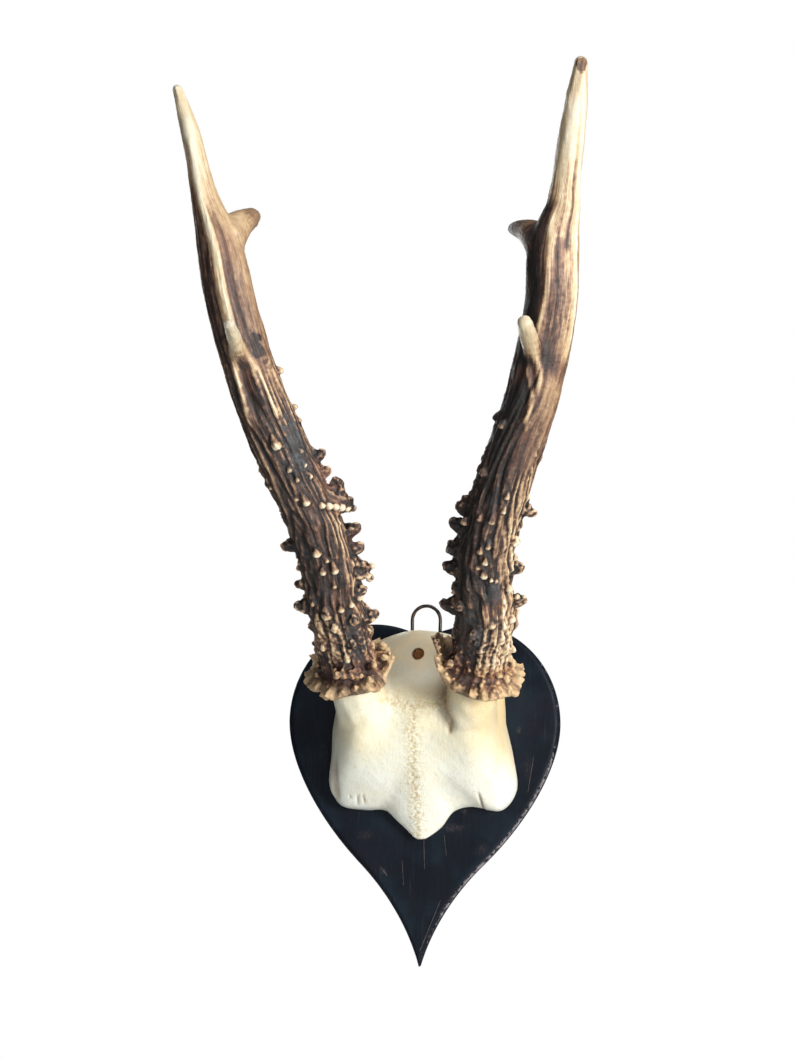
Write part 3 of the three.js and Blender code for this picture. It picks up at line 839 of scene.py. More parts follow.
def rimBeads(antler, shape, grid, radius, path, frames):
    # small beads along the burr's rim
    random = np.random.default_rng(antler["seed"] + 6)
    count = shape["rimBeads"]
    directions = np.linspace(-180, 180, count, endpoint=False) + random.uniform(-3, 3, count)
    sizes = random.uniform(0.45, 0.95, count)
    row = radius[:shape["burrRows"]].max(axis=1).argmax()
    rims = grid[row, columnAt(radius, directions)]
    inward = path[row, :3] - rims
    inward /= np.linalg.norm(inward, axis=1, keepdims=True)
    along = frames[0][row]
    beads = rims + inward * random.uniform(0.2, 2.0, count)[:, None] + along * 0.5
    across = np.cross(along, -inward)
    surfaces = pearlSurfaces(beads, -inward, frames[0][[row] * count], across, sizes, np.full(count, 1.1))
    return surfaces, np.column_stack([beads, sizes, random.choice([0.1, 0.25, -0.3], count)])


def dishLumps(antler, shape, path, frames):
    # dark lumps of several sizes in the burr's dish
    random = np.random.default_rng(antler["seed"] + 5)
    count = shape["dishLumps"]
    directions = np.linspace(-180, 180, count, endpoint=False) + random.uniform(-6, 6, count)
    heights = random.uniform(18.6, 22.5, count)
    sizes = random.uniform(0.7, 1.7, count)
    middles, outward, along, across, row = onBeam(path, frames, heights, directions)
    lumps = middles + outward * random.uniform(10.2, 13.6, count)[:, None]
    surfaces = pearlSurfaces(lumps, outward, along, across, sizes, np.full(count, 1.2))
    return surfaces, np.column_stack([lumps, sizes * 1.1, random.choice([-0.3, -0.2, 0.3], count)])


def softenRoots(piece, antler, shape):
    # the tines flow out of the beam: the crease round the root of each is averaged away
    points = vertexPoints(piece)
    weights = np.zeros(len(points))
    for stations, (place, spreadOut) in zip(antler["tines"], shape["tineRoots"]):
        root = splineThrough(stations, 101)[0][int(place * 100)]
        away = np.linalg.norm(points - root[:3], axis=1)
        weights = np.maximum(weights, smoothStep(away, spreadOut, spreadOut * 0.5))
    softenPlaces(piece, weights, shape["rootRounds"])


def addCrust(piece, antler, knobs, sizes):
    # a rough crust on the knobs of the sides and at the foot
    points = vertexPoints(piece)
    crusted = np.zeros(len(points))
    for part in inParts(points):
        away = np.sqrt(((points[part, None] - knobs[None]) ** 2).sum(axis=2))
        crusted[part] = (smoothStep(sizes, 1.3, 1.9) * smoothStep(away / sizes, 1.5, 1.0)).max(axis=1)
    foot = 1 - smoothStep(points[:, 2], 24, 36)
    crust = waveField(points, 1.7, antler["seed"] + 20)
    moveOut(piece, crust * (0.02 + 0.11 * crusted + 0.07 * foot))


def makeAntler(antler, shape):
    # beam, tines, spurs, thorns, pearls and beads melted into one skin; the pale or dark heads are kept as
    # rows of x, y, z, size and paleness
    grid, radius, path, frames = beamSurface(antler, shape)
    surfaces = [gridSurface(grid)]
    for k, stations in enumerate(antler["tines"]):
        surfaces.append(gridSurface(hornSurface(stations, shape, antler["seed"] + 30 + k, 0.07)))
    spurs, spurEnds = sideSpurs(antler, shape, path, frames)
    table = pearlTable(antler, shape["scatteredPearls"])
    thorny = (np.abs(table[:, 1]) > 74) & (table[:, 2] >= 1.5) & (table[:, 3] < 2.5)
    thorns, thornHeads = sideThorns(antler, shape, path, frames, radius, table[thorny])
    table = table[~thorny]
    middles, outward, along, across, row = onBeam(path, frames, table[:, 0], table[:, 1])
    heads = middles + outward * (skinAt(radius, row, table[:, 1]) + table[:, 3])[:, None]
    surfaces += spurs + thorns
    surfaces += pearlSurfaces(heads, outward, along, across, table[:, 2], table[:, 4])
    # where a head is pale, its spot sits a little out and down from the pearl's middle: partly its real pale
    # tip, partly a painted highlight
    lit = heads + (outward * 0.4 - along * 0.3) * table[:, 2:3]
    paleHeads = [np.column_stack([lit, table[:, 2], table[:, 5]]), *thornHeads]
    endTones = [[-0.2], [-0.5], [-0.5], [-0.5]]
    paleHeads += [np.column_stack([ends, np.full((4, 1), 3.2), endTones]) for ends in spurEnds]
    for height, direction, reach, size in antler["beadRow"]:
        middles, outward, along, across, row = onBeam(path, frames, [height], [direction])
        bead = middles + outward * reach
        surfaces += pearlSurfaces(bead, outward, along, across, np.array([size]), np.array([1.2]))
        paleHeads.append(np.column_stack([bead, [size * 1.15], [1.0]]))
    for beads, beadHeads in (
        rimBeads(antler, shape, grid, radius, path, frames), dishLumps(antler, shape, path, frames),
    ):
        surfaces += beads
        paleHeads.append(beadHeads)
    piece = makePiece(antler["name"], joinSurfaces(surfaces))
    fuse(piece, shape["voxel"], shape["smoothing"])
    dropCrumbs(piece)
    softenRoots(piece, antler, shape)
    knobs = np.vstack([heads, *spurEnds, *[head[:, :3] for head in thornHeads]])
    sizes = np.concatenate([table[:, 2], np.full(len(spurEnds) * 4, 3.0), np.full(len(thornHeads) * 4, 1.8)])
    addCrust(piece, antler, knobs, sizes)
    return piece, path, np.vstack(paleHeads)


def markAntler(piece, antler, path, paleHeads):
    # attributes for the colour: the place straightened out, the height, how far it stands out from the skin
    # round it, the pale heads of the pearls, and the light and dark lines and patches
    points = vertexPoints(piece)
    lines = [path[::3, :3]] + [splineThrough(stations, 30)[0][:, :3] for stations in antler["tines"]]
    nearest = np.full(len(points), 1e9)
    place = np.zeros((len(points), 3))
    tineTone = np.zeros(len(points))
    onTine = np.zeros(len(points))
    for k, line in enumerate(lines):
        towards, beside = pathFrames(line)[1:]
        gone = np.concatenate([[0], np.cumsum(np.linalg.norm(np.diff(line, axis=0), axis=1))])
        row = np.empty(len(points), int)
        for part in inParts(points):
            row[part] = ((points[part, None] - line[None]) ** 2).sum(axis=2).argmin(axis=1)
        away = points - line[row]
        distance = np.linalg.norm(away, axis=1)
        turn = np.arctan2(np.einsum("ij,ij->i", away, beside[row]), np.einsum("ij,ij->i", away, towards[row]))
        if k == 0:
            beamTurn, beamHeight, beamAway, girth = turn, path[::3][row, 2], distance, path[::3][row, 3]
            share = np.zeros(len(points))
            score = distance
        else:
            # a tine only counts where it stands clear of the beam
            clear = beamAway - girth + 1.5 * waveField(points, 3, 62)
            share = smoothStep(gone[row] / gone[-1], 0.25, 0.55) * smoothStep(clear, 1.5, 9.5)
            score = distance + 8.5 - 12 * share
        closer = score < nearest
        nearest[closer] = score[closer]
        straight = np.stack([8 * np.cos(turn), 8 * np.sin(turn), gone[row] + 400 * k], axis=1)
        place[closer] = straight[closer]
        tone = antler["tineTones"][k - 1] if k else 0
        tineTone = np.where(closer, share * tone, tineTone)
        onTine = np.where(closer, share, onTine)
    tone = np.zeros(len(points))
    ragged = waveField(points, 2.6, 61)
    for line in antler["lines"]:
        tone += line[3] * lineMask(line, beamHeight, beamTurn, girth)
    tint = np.zeros(len(points))
    for height, direction, halfLength, halfWidth, lightness, hue in antler["patches"]:
        off = roundBeam(beamTurn, math.radians(direction), girth) / halfWidth
        bell = np.exp(-((beamHeight - height) / halfLength) ** 2 - off ** 2)
        share = smoothStep(bell * (1 + 0.45 * ragged), 0.22, 0.5)
        tone += lightness * share
        tint += hue * share
    head = np.zeros(len(points))
    for part in inParts(points):
        squared = ((points[part, None] - paleHeads[None, :, :3]) ** 2).sum(axis=2)
        bells = np.exp(-(squared / (0.95 * paleHeads[:, 3]) ** 2) ** 2)
        nearest = bells.argmax(axis=1)
        head[part] = paleHeads[nearest, 4] * bells[np.arange(len(nearest)), nearest]
    setVectors(piece, "straightPlace", place * mm)
    setFloats(piece, "rise", beamHeight)
    setFloats(piece, "lightness", tone * (1 - onTine) + tineTone)
    setFloats(piece, "tint", tint)
    calm = np.maximum(calmOf(antler, beamHeight, beamTurn, girth), onTine)
    setFloats(piece, "calm", calm)
    setFloats(piece, "burrRim", smoothStep(beamAway, 11.0, 16.0) * (1 - smoothStep(beamHeight, 22, 27)))
    setFloats(piece, "paleHead", head)
    plainness = (1 - 0.8 * calm) * (1 - 0.7 * smoothStep(beamHeight, 118, 150))
    setFloats(piece, "fineRelief", reliefOf(piece, 8) * plainness)
    setFloats(piece, "wideRelief", reliefOf(piece, 60))


antlerLook = {
    "soot": (0.006, 0.0045, 0.004),
    "darkBrown": (0.028, 0.0145, 0.011),
    "brown": (0.098, 0.052, 0.034),
    "tan": (0.27, 0.17, 0.098),
    "sand": (0.43, 0.31, 0.18),
    "cream": (0.53, 0.435, 0.285),
    "ivory": (0.57, 0.515, 0.395),
    "burrOrange": (0.27, 0.135, 0.055),
    "burrDark": (0.035, 0.014, 0.009),
    "rimTan": (0.47, 0.335, 0.185),
    "greyCrust": (0.06, 0.062, 0.068),
    "redBrown": (0.17, 0.072, 0.043),
    "roughness": 0.5,
    "toneUpwards": [  # share of the height, how light
        (0.0, 0.40), (0.06, 0.36), (0.11, 0.28), (0.22, 0.27), (0.42, 0.32), (0.53, 0.46), (0.66, 0.54),
        (0.78, 0.61), (0.90, 0.76), (1.0, 0.90),
    ],
    "layerWeights": [  # streaks, fine streaks, broad streaks, mottle: weight low down and near the tip
        (0.80, 0.16), (0.55, 0.12), (0.55, 0.12), (0.40, 0.10),
    ],
}


def antlerMaterial(look):
    material, tree, shader = newMaterial("antlerHorn", look["roughness"])
    place = attributeOf(tree, "straightPlace", "Vector")
    rise = attributeOf(tree, "rise")
    fineRelief = attributeOf(tree, "fineRelief")
    wideRelief = attributeOf(tree, "wideRelief")
    lightness = attributeOf(tree, "lightness")
    streaks = noise(tree, scaled(tree, place, (1, 1, 0.07)), 640, 6, 0.62)
    fineStreaks = noise(tree, scaled(tree, place, (1, 1, 0.05)), 1900, 4, 0.6)
    broadStreaks = noise(tree, scaled(tree, place, (1, 1, 0.14)), 190, 4, 0.55)
    freckles = noise(tree, scaled(tree, place, (1, 1, 0.4)), 900, 6, 0.75)
    mottle = noise(tree, objectPoint(tree), 430, 5, 0.62)
    clouds = noise(tree, objectPoint(tree), 95, 3, 0.5)
    # how light the horn is by height alone, then by its relief (painted shade in the grooves and hollows, a
    # painted highlight on the ridges and pearls), its streaks and the marks on it
    upwards = spread(tree, rise, 8, 208)
    tone = colourRamp(tree, upwards, [(at, (grey,) * 3) for at, grey in look["toneUpwards"]])
    tone = plus(
        tree, tone, spread(tree, fineRelief, -0.20, 0.24, -0.44, 0.25),
        spread(tree, wideRelief, -1.2, 1.4, -0.14, 0.13))
    calmness = combine(tree, "MULTIPLY_ADD", attributeOf(tree, "calm"), -0.5, 1.0)
    layers = [(freckles, spread(tree, rise, 150, 200, 0.42, 0.16))]
    for layer, (low, high) in zip((streaks, fineStreaks, broadStreaks, mottle), look["layerWeights"]):
        layers.append((layer, times(tree, spread(tree, rise, 172, 204, low, high), calmness)))
    for layer, weight in layers:
        tone = combine(tree, "MULTIPLY_ADD", combine(tree, "SUBTRACT", layer, 0.5), weight, tone)
    tone = plus(tree, tone, lightness)
    headShare = times(tree, attributeOf(tree, "paleHead"), spread(tree, mottle, 0.3, 0.6, 0.75, 1.0))
    tone = combine(tree, "MULTIPLY_ADD", headShare, 0.6, tone)
    colour = colourRamp(tree, tone, [
        (0.03, look["soot"]), (0.17, look["darkBrown"]), (0.32, look["brown"]), (0.48, look["tan"]),
        (0.64, look["sand"]), (0.80, look["cream"]), (0.95, look["ivory"]),
    ])
    # red-brown where the tint is above 0, a grey crust where it is below
    tint = attributeOf(tree, "tint")
    red = combine(tree, "MAXIMUM", spread(tree, clouds, 0.5, 0.66), combine(tree, "MAXIMUM", tint, 0.0))
    red = times(tree, red, spread(tree, streaks, 0.42, 0.62, 0.05, 0.5), spread(tree, tone, 0.62, 0.45))
    grey = times(
        tree, spread(tree, clouds, 0.42, 0.32), spread(tree, mottle, 0.45, 0.6, 0.0, 0.6),
        spread(tree, tone, 0.45, 0.25), spread(tree, rise, 100, 84))
    greyPatch = times(
        tree, combine(tree, "MINIMUM", tint, 0.0), -0.75, spread(tree, mottle, 0.35, 0.6, 0.3, 1.0))
    grey = combine(tree, "MAXIMUM", grey, greyPatch)
    colour = layered(tree, colour, look, [(red, "redBrown"), (grey, "greyCrust")])
    # the burr: red-brown and orange-tan streaks that run outwards, with a paler rim
    dish = spread(tree, rise, 26, 21)
    fans = noise(tree, scaled(tree, place, (1, 1, 0.05)), 820, 4, 0.6)
    # the relief paints shade between the fins and a highlight on their edges
    fanTone = plus(
        tree, fans, spread(tree, fineRelief, -0.2, 0.26, -0.28, 0.15),
        spread(tree, wideRelief, -1.2, 1.6, -0.12, 0.10))
    fan = colourRamp(tree, combine(tree, "MULTIPLY_ADD", lightness, 0.6, fanTone), [
        (0.31, look["burrDark"]), (0.43, look["redBrown"]), (0.54, look["burrOrange"]),
        (0.68, look["rimTan"]),
    ])
    fanShare = times(tree, dish, spread(tree, mottle, 0.3, 0.5, 0.7, 0.95))
    colour = blendColours(tree, fanShare, colour, fan)
    rimShare = times(tree, attributeOf(tree, "burrRim"), spread(tree, fans, 0.36, 0.55, 0.25, 0.85), dish)
    colour = layered(tree, colour, look, [(rimShare, "rimTan")])
    plug(tree, shader.inputs["Base Color"], colour)
    roughness = combine(tree, "SUBTRACT", spread(tree, tone, 0.1, 0.9, 0.55, 0.34), 0.1)
    plug(tree, shader.inputs["Roughness"], combine(tree, "MULTIPLY_ADD", mottle, 0.24, roughness))
    grit = noise(tree, objectPoint(tree), 1500, 4, 0.6)
    height = combine(tree, "MULTIPLY_ADD", grit, spread(tree, rise, 60, 150, 1.2, 0.15), fineStreaks)
    addBump(tree, shader, height, 0.7, 0.0005)
    return material


antlerHorn = antlerMaterial(antlerLook)
for antler in (leftAntler, rightAntler):
    piece, path, paleHeads = makeAntler(antler, antlerShape)
    markAntler(piece, antler, path, paleHeads)
    finishPiece(piece, antlerHorn, antler["node"])


# Skull cap

skullShape = {
    "boardFront": 9.0,
    "gap": 0.3,
    "centre": (0.0, -8.0),
    "outline": [  # x, z, anticlockwise from the rim of the right orbit
        [30, 0], [29, 11], [25, 21], [16, 29], [5, 32.3], [-6, 32.3], [-17, 28.5], [-25, 21], [-29.5, 11],
        [-31.5, 0], [-32.3, -12], [-32.7, -24], [-29, -30.4], [-20, -31.9], [-12.5, -32], [-7, -36.5],
        [0, -41.7], [7, -38], [12, -31.6], [18, -29.8], [29, -31], [34.2, -24], [33.1, -13],
    ],
    "ridge": [  # z, height above the board, down the middle
        [33, 21], [24, 21.5], [15, 25], [6, 27.6], [-6, 25.6], [-17, 20], [-27, 13], [-36, 8], [-42, 4],
    ],
    "edge": 2.4,
    "rows": 190,
    "columns": 330,
    "pedicle": [[17.2, -22, -4, 10.5], [19, -33, 5.2, 9.9], [21.0, -40.6, 13.4, 8.7]],
    "hole": (-0.3, 23.6, 2.1),  # x, z, radius
    "sutureX": -0.8,
    # the last number of each furrow is how much painted brown shade lies in it
    "furrows": [  # x, z, half width, half length, depth, lean, brownness
        (-29.8, -21.5, 1.2, 7.5, 0.9, 0.0, 0.8), (-21.9, -28.6, 0.45, 1.8, 0.45, 0.1, 0.55),
        (-19.6, -28.2, 0.35, 1.6, 0.4, -0.1, 0.6), (22.3, -28.4, 0.42, 3.6, 0.7, -0.2, 0.95),
        (12.3, -2.0, 0.8, 2.4, 0.9, 0.0, 1.0), (11.3, 5.5, 2.5, 8.0, 1.4, -0.17, 0.9),
        (27.6, 2, 1.2, 7, 0.4, 0.0, 0.0),
        (-24.6, -27.5, 0.5, 0.7, 0.3, 0.0, 0.4),
    ],
    "voxel": 0.45,
    "smoothing": 2,
    "creaseRounds": 150,
}


def boneHeight(x, z, share, shape):
    # height above the board: the middle ridge's height at this z, hollowed at the temples, raised at the
    # orbit rims and where the pedicles spring, and rounded off to the thin edge by the root of 1 - share^4
    ridgeLine = splineThrough([[a, b, 0] for a, b in shape["ridge"]], 300)[0]
    order = ridgeLine[:, 0].argsort()
    ridge = np.interp(z, ridgeLine[order, 0], ridgeLine[order, 1])
    rounded = np.sqrt(np.clip(1 - share ** 4, 0, 1))
    hollow = 1.8 * np.exp(-((np.abs(x) - 11) / 4) ** 2 - ((z - 12) / 9) ** 2)
    rim = 0.8 * np.exp(-((np.abs(x) - 26) / 6) ** 2 - ((z + 14) / 14) ** 2)
    flare = 5 * np.exp(-((np.abs(x) - 22) / 8.5) ** 2 - ((z + 2) / 12) ** 2)
    return shape["edge"] + (ridge - shape["edge"] - hollow + rim + flare) * rounded


def sutureLines(x, z, shape):
    # distance in mm to the frontal suture, which wriggles down the middle, and to the coronal one across it
    wriggle = shape["sutureX"] + 0.55 * np.sin(z * 2.1) + 0.4 * np.sin(z * 4.7 + 1)
    wriggle = wriggle + 0.3 * np.sin(z * 8.3 + 2)
    frontal = np.abs(x - wriggle) + 4 * smoothStep(z, 5, 8)
    arch = 5.0 + 0.016 * x ** 2 + 0.6 * np.sin(x * 1.9) + 0.45 * np.sin(x * 4.3 + 0.5) + 0.3 * np.sin(x * 7.7)
    coronal = np.abs(z - arch) + 4 * smoothStep(np.abs(x), 11, 14)
    return frontal, coronal


def boneRelief(x, z, shape):
    # the small forms of the bone: sutures, the furrows beside the pedicles, nerve holes near the lower edge
    frontal, coronal = sutureLines(x, z, shape)
    place = np.stack([x, 0 * x, z], axis=-1)
    crinkle = 0.5 + 0.5 * waveField(place, 1.3, 71)
    relief = -0.2 * bump(frontal, 0, 0.45) - 0.2 * bump(coronal, 0, 0.5)
    nearSuture = np.maximum(bump(frontal, 0, 2.2), bump(coronal, 0, 3.6))
    relief = relief + 0.17 * (crinkle - 0.5) * nearSuture
    relief = relief + 0.16 * waveField(place, 14, 75) + 0.02 * waveField(place, 3.4, 76)
    for furrow in shape["furrows"]:
        relief = relief - furrow[4] * furrowShare(x, z, furrow)
    return relief


def furrowShare(x, z, furrow):
    # a bell over a narrow place that leans sideways as it goes up
    middleX, middleZ, wide, long, depth, lean, colour = furrow
    sideways = (x - middleX - lean * (z - middleZ)) / wide
    return np.exp(-sideways ** 2 - ((z - middleZ) / long) ** 4)


def capSurface(shape):
    # the cap: rings of its outline drawn in towards the centre, flat behind and raised in front
    corners = [[x, z, 0] for x, z in shape["outline"] + shape["outline"][:1]]
    edge = splineThrough(corners, 60 * len(shape["outline"]))[0]
    gone = np.linspace(0, 1, len(edge))
    turn = np.linspace(0, 1, shape["columns"], endpoint=False)
    rim = np.stack([np.interp(turn, gone, edge[:, j]) for j in (0, 1)], axis=-1)
    centre = np.array(shape["centre"])
    frontShare = np.linspace(1, 0.004, shape["rows"]) ** 0.8
    backShare = np.array([0.02, 0.35, 0.7, 1.0])
    share = np.concatenate([backShare, frontShare])[:, None]
    flat = centre + (rim[None] - centre) * share[..., None]
    x, z = flat[..., 0], flat[..., 1]
    height = boneHeight(x, z, share, shape)
    height[:len(backShare)] = 0
    y = -(shape["boardFront"] + shape["gap"]) - height
    return gridSurface(np.stack([x, y, z], axis=-1))


def pedicleSurface(shape, side):
    # the stump that carries an antler: a round tube along the pedicle's stations, a little uneven
    stations = np.array(shape["pedicle"], float) * [side, 1, 1, 1]
    path, steps = splineThrough(stations, 90)
    towards, beside = pathFrames(path)[1:]
    around = np.linspace(-math.pi, math.pi, 90, endpoint=False)[None, :]
    tight = np.stack(np.broadcast_arrays(9 * np.cos(around), 9 * np.sin(around), steps[:, None]), axis=-1)
    radius = path[:, 3][:, None] + 0.12 * waveField(tight, 6, 80 + side)
    across = towards[:, None] * np.cos(around)[..., None] + beside[:, None] * np.sin(around)[..., None]
    return gridSurface(path[:, None, :3] + radius[..., None] * across)


def makeSkull(shape):
    # cap and pedicles melted together, then the small forms of the bone and the drilled hole
    surfaces = [capSurface(shape), pedicleSurface(shape, -1), pedicleSurface(shape, 1)]
    skull = makePiece("skullCap", joinSurfaces(surfaces))
    fuse(skull, shape["voxel"], shape["smoothing"])
    # the stumps flow into the cap: the crease round each is averaged away
    points = vertexPoints(skull)
    weights = np.zeros(len(points))
    for side in (-1, 1):
        line = splineThrough(np.array(shape["pedicle"], float) * [side, 1, 1, 1], 40)[0]
        away = np.sqrt(((points[:, None] - line[None, :, :3]) ** 2).sum(axis=2)).min(axis=1)
        forward = smoothStep(-points[:, 1], 14, 22) * smoothStep(-points[:, 1], 40, 34)
        weights = np.maximum(weights, smoothStep(away, 21, 12) * forward)
    softenPlaces(skull, weights, shape["creaseRounds"])
    points = vertexPoints(skull)
    front = smoothStep(-points[:, 1], shape["boardFront"] + 1, shape["boardFront"] + 3)
    moveOut(skull, boneRelief(points[:, 0], points[:, 2], shape) * front * smoothStep(-points[:, 1], 41, 38))
    # the drilled hole goes straight through
    holeX, holeZ, holeRadius = shape["hole"]
    around = np.linspace(0, 2 * math.pi, 48, endpoint=False)
    rings = np.array([-60.0, 0.0])
    drillX = holeX + holeRadius * np.cos(around)[None]
    drillZ = holeZ + holeRadius * np.sin(around)[None]
    drill = np.stack(np.broadcast_arrays(drillX, rings[:, None], drillZ), axis=-1)
    cutAway(skull, gridSurface(drill[::-1]))
    return skull


def markSkull(skull, shape):
    points = vertexPoints(skull)
    x, z = points[:, 0], points[:, 2]
    frontal, coronal = sutureLines(x, z, shape)
    setFloats(skull, "suture", np.maximum(bump(frontal, 0, 0.55), bump(coronal, 0, 0.7)))
    setFloats(skull, "besideSuture", np.maximum(bump(frontal, 0.4, 2.4), bump(coronal, 0, 3.4)))
    setFloats(skull, "fineRelief", reliefOf(skull, 10))
    setFloats(skull, "wideRelief", reliefOf(skull, 70))
    holeX, holeZ, holeRadius = shape["hole"]
    away = np.hypot(x - holeX, z - holeZ)
    # rust-brown on the wall of the drilled hole and a thin ring round it: partly a rust stain from the screw,
    # partly painted shade inside the hole
    setFloats(skull, "holeRustAndShade", 1 - smoothStep(away, holeRadius - 0.3, holeRadius + 0.5))
    shade = 0 * x
    # painted shade: brown in the furrows, cracks and small holes
    for furrow in shape["furrows"]:
        shade = np.maximum(shade, furrow[6] * furrowShare(x, z, furrow))
    setFloats(skull, "hollowPaintedShade", shade)
    underBurr = np.exp(-((z - 11) / 4) ** 2) * smoothStep(-points[:, 1], 30, 38)
    setFloats(skull, "underBurr", underBurr)
    clearOfStumps = smoothStep(-points[:, 1], 36, 28)
    setFloats(skull, "dome", smoothStep(z, 7, 12) * clearOfStumps)


boneLook = {
    "bone": (0.60, 0.592, 0.475),
    "white": (0.645, 0.67, 0.615),
    "cream": (0.60, 0.55, 0.38),
    "honey": (0.55, 0.40, 0.19),
    "seam": (0.43, 0.33, 0.15),
    # brown is used only as painted shade, in the furrows, holes and sunken places
    "brown": (0.24, 0.15, 0.07),
    # a warm tan that is also painted lighter, to lift the shade on the dome's upward-facing top
    "domeTanPaintedLight": (0.74, 0.60, 0.385),
    # rust, darkened to stand in for the shade inside the drilled hole as well
    "rust": (0.20, 0.083, 0.026),
    "roughness": 0.48,
    "depthGlow": 0.35,
    "glowReach": 0.004,
}


def boneMaterial(look):
    material, tree, shader = newMaterial("skullBone", look["roughness"])
    place = objectPoint(tree)
    apart = tree.nodes.new("ShaderNodeSeparateXYZ")
    plug(tree, apart.inputs[0], place)
    x, z = apart.outputs["X"], apart.outputs["Z"]
    besideSuture = attributeOf(tree, "besideSuture")
    clouds = noise(tree, place, 55, 4, 0.55)
    fibres = noise(tree, scaled(tree, place, (1, 1, 0.18)), 900, 5, 0.6)
    fineDots = noise(tree, place, 1500, 4, 0.7)
    blotches = noise(tree, scaled(tree, place, (1, 1, 0.7)), 190, 5, 0.6)
    squiggles = combine(tree, "ABSOLUTE", combine(tree, "SUBTRACT", noise(tree, place, 620, 3, 0.6), 0.5))
    pores = cells(tree, place, 900)
    # bluish white low down in the middle, honey on the right near the pedicle, a browner, blotchy dome that
    # is also painted lighter to lift the shade on its upward-facing top
    paleLow = times(tree, spread(tree, z, -0.004, -0.026), spread(tree, clouds, 0.3, 0.75, 1.0, 0.45))
    honeyRight = times(
        tree, spread(tree, x, 0.014, 0.027), spread(tree, z, -0.024, -0.002),
        spread(tree, clouds, 0.3, 0.7, 0.35, 0.85))
    speckle = times(tree, besideSuture, spread(tree, squiggles, 0.05, 0.015), 0.75)
    # painted shade: brown in the furrows and small holes, and in the sunken places of the bone
    hollow = times(tree, attributeOf(tree, "hollowPaintedShade"), spread(tree, clouds, 0.2, 0.7, 0.6, 0.95))
    pits = spread(tree, attributeOf(tree, "fineRelief"), -0.03, -0.2)
    dome = times(tree, attributeOf(tree, "dome"), spread(tree, blotches, 0.36, 0.66, 0.3, 0.95))
    colour = layered(tree, look["bone"], look, [
        (spread(tree, clouds, 0.35, 0.7), "cream"),
        (paleLow, "white"),
        (honeyRight, "honey"),
        (speckle, "seam"),
        (times(tree, attributeOf(tree, "suture"), 0.45), "seam"),
        (times(tree, attributeOf(tree, "underBurr"), 0.45), "honey"),
        (hollow, "brown"),
        (times(tree, pits, 0.3), "brown"),
        (spread(tree, fibres, 0.54, 0.70, 0, 0.34), "honey"),
        (spread(tree, fineDots, 0.56, 0.72, 0, 0.3), "honey"),
        (spread(tree, fineDots, 0.46, 0.34, 0, 0.4), "white"),
        (dome, "domeTanPaintedLight"),
        (attributeOf(tree, "holeRustAndShade"), "rust"),
    ])
    plug(tree, shader.inputs["Base Color"], colour)
    plug(tree, shader.inputs["Roughness"], spread(tree, clouds, 0.3, 0.7, 0.40, 0.58))
    height = combine(tree, "MULTIPLY_ADD", spread(tree, pores, 0.0, 0.35), 0.35, fibres)
    crinkle = noise(tree, place, 1100, 4, 0.6)
    height = combine(tree, "MULTIPLY_ADD", crinkle, times(tree, besideSuture, 1.6), height)
    addBump(tree, shader, height, 0.6, 0.0003)
    # light goes a few millimetres into the bone and softens its shading
    shader.inputs["Subsurface Weight"].default_value = look["depthGlow"]
    shader.inputs["Subsurface Scale"].default_value = look["glowReach"]
    shader.inputs["Subsurface Radius"].default_value = (1.0, 0.85, 0.6)
    return material


skull = makeSkull(skullShape)
markSkull(skull, skullShape)
finishPiece(skull, boneMaterial(boneLook), "skull_plate")


# Board

boardShape = {
    "thickness": 9.0,
    "round": 2.0,
    "centre": (0.0, -10.0),
    "curves": [  # each is four Bezier points x, z; from the notch down the right side to the point
        [[0, 30], [4, 32.3], [10, 35.1], [18, 35.1]],
        [[18, 35.1], [36, 35.1], [49, 18], [49, 0]],
        [[49, 0], [49, -16], [37, -36], [22, -51]],
        [[22, -51], [12.5, -60.5], [4, -73], [0, -87.2]],
    ],
    "pointsOnCurve": 60,
    "edgeRows": 14,
    "faceRows": 60,
    "legHoles": (5.1, -4.5, 0.95),  # x of each, y, radius
    "legHoleEnds": (45.0, 20.7),  # z where the drill comes in and where it stops
}


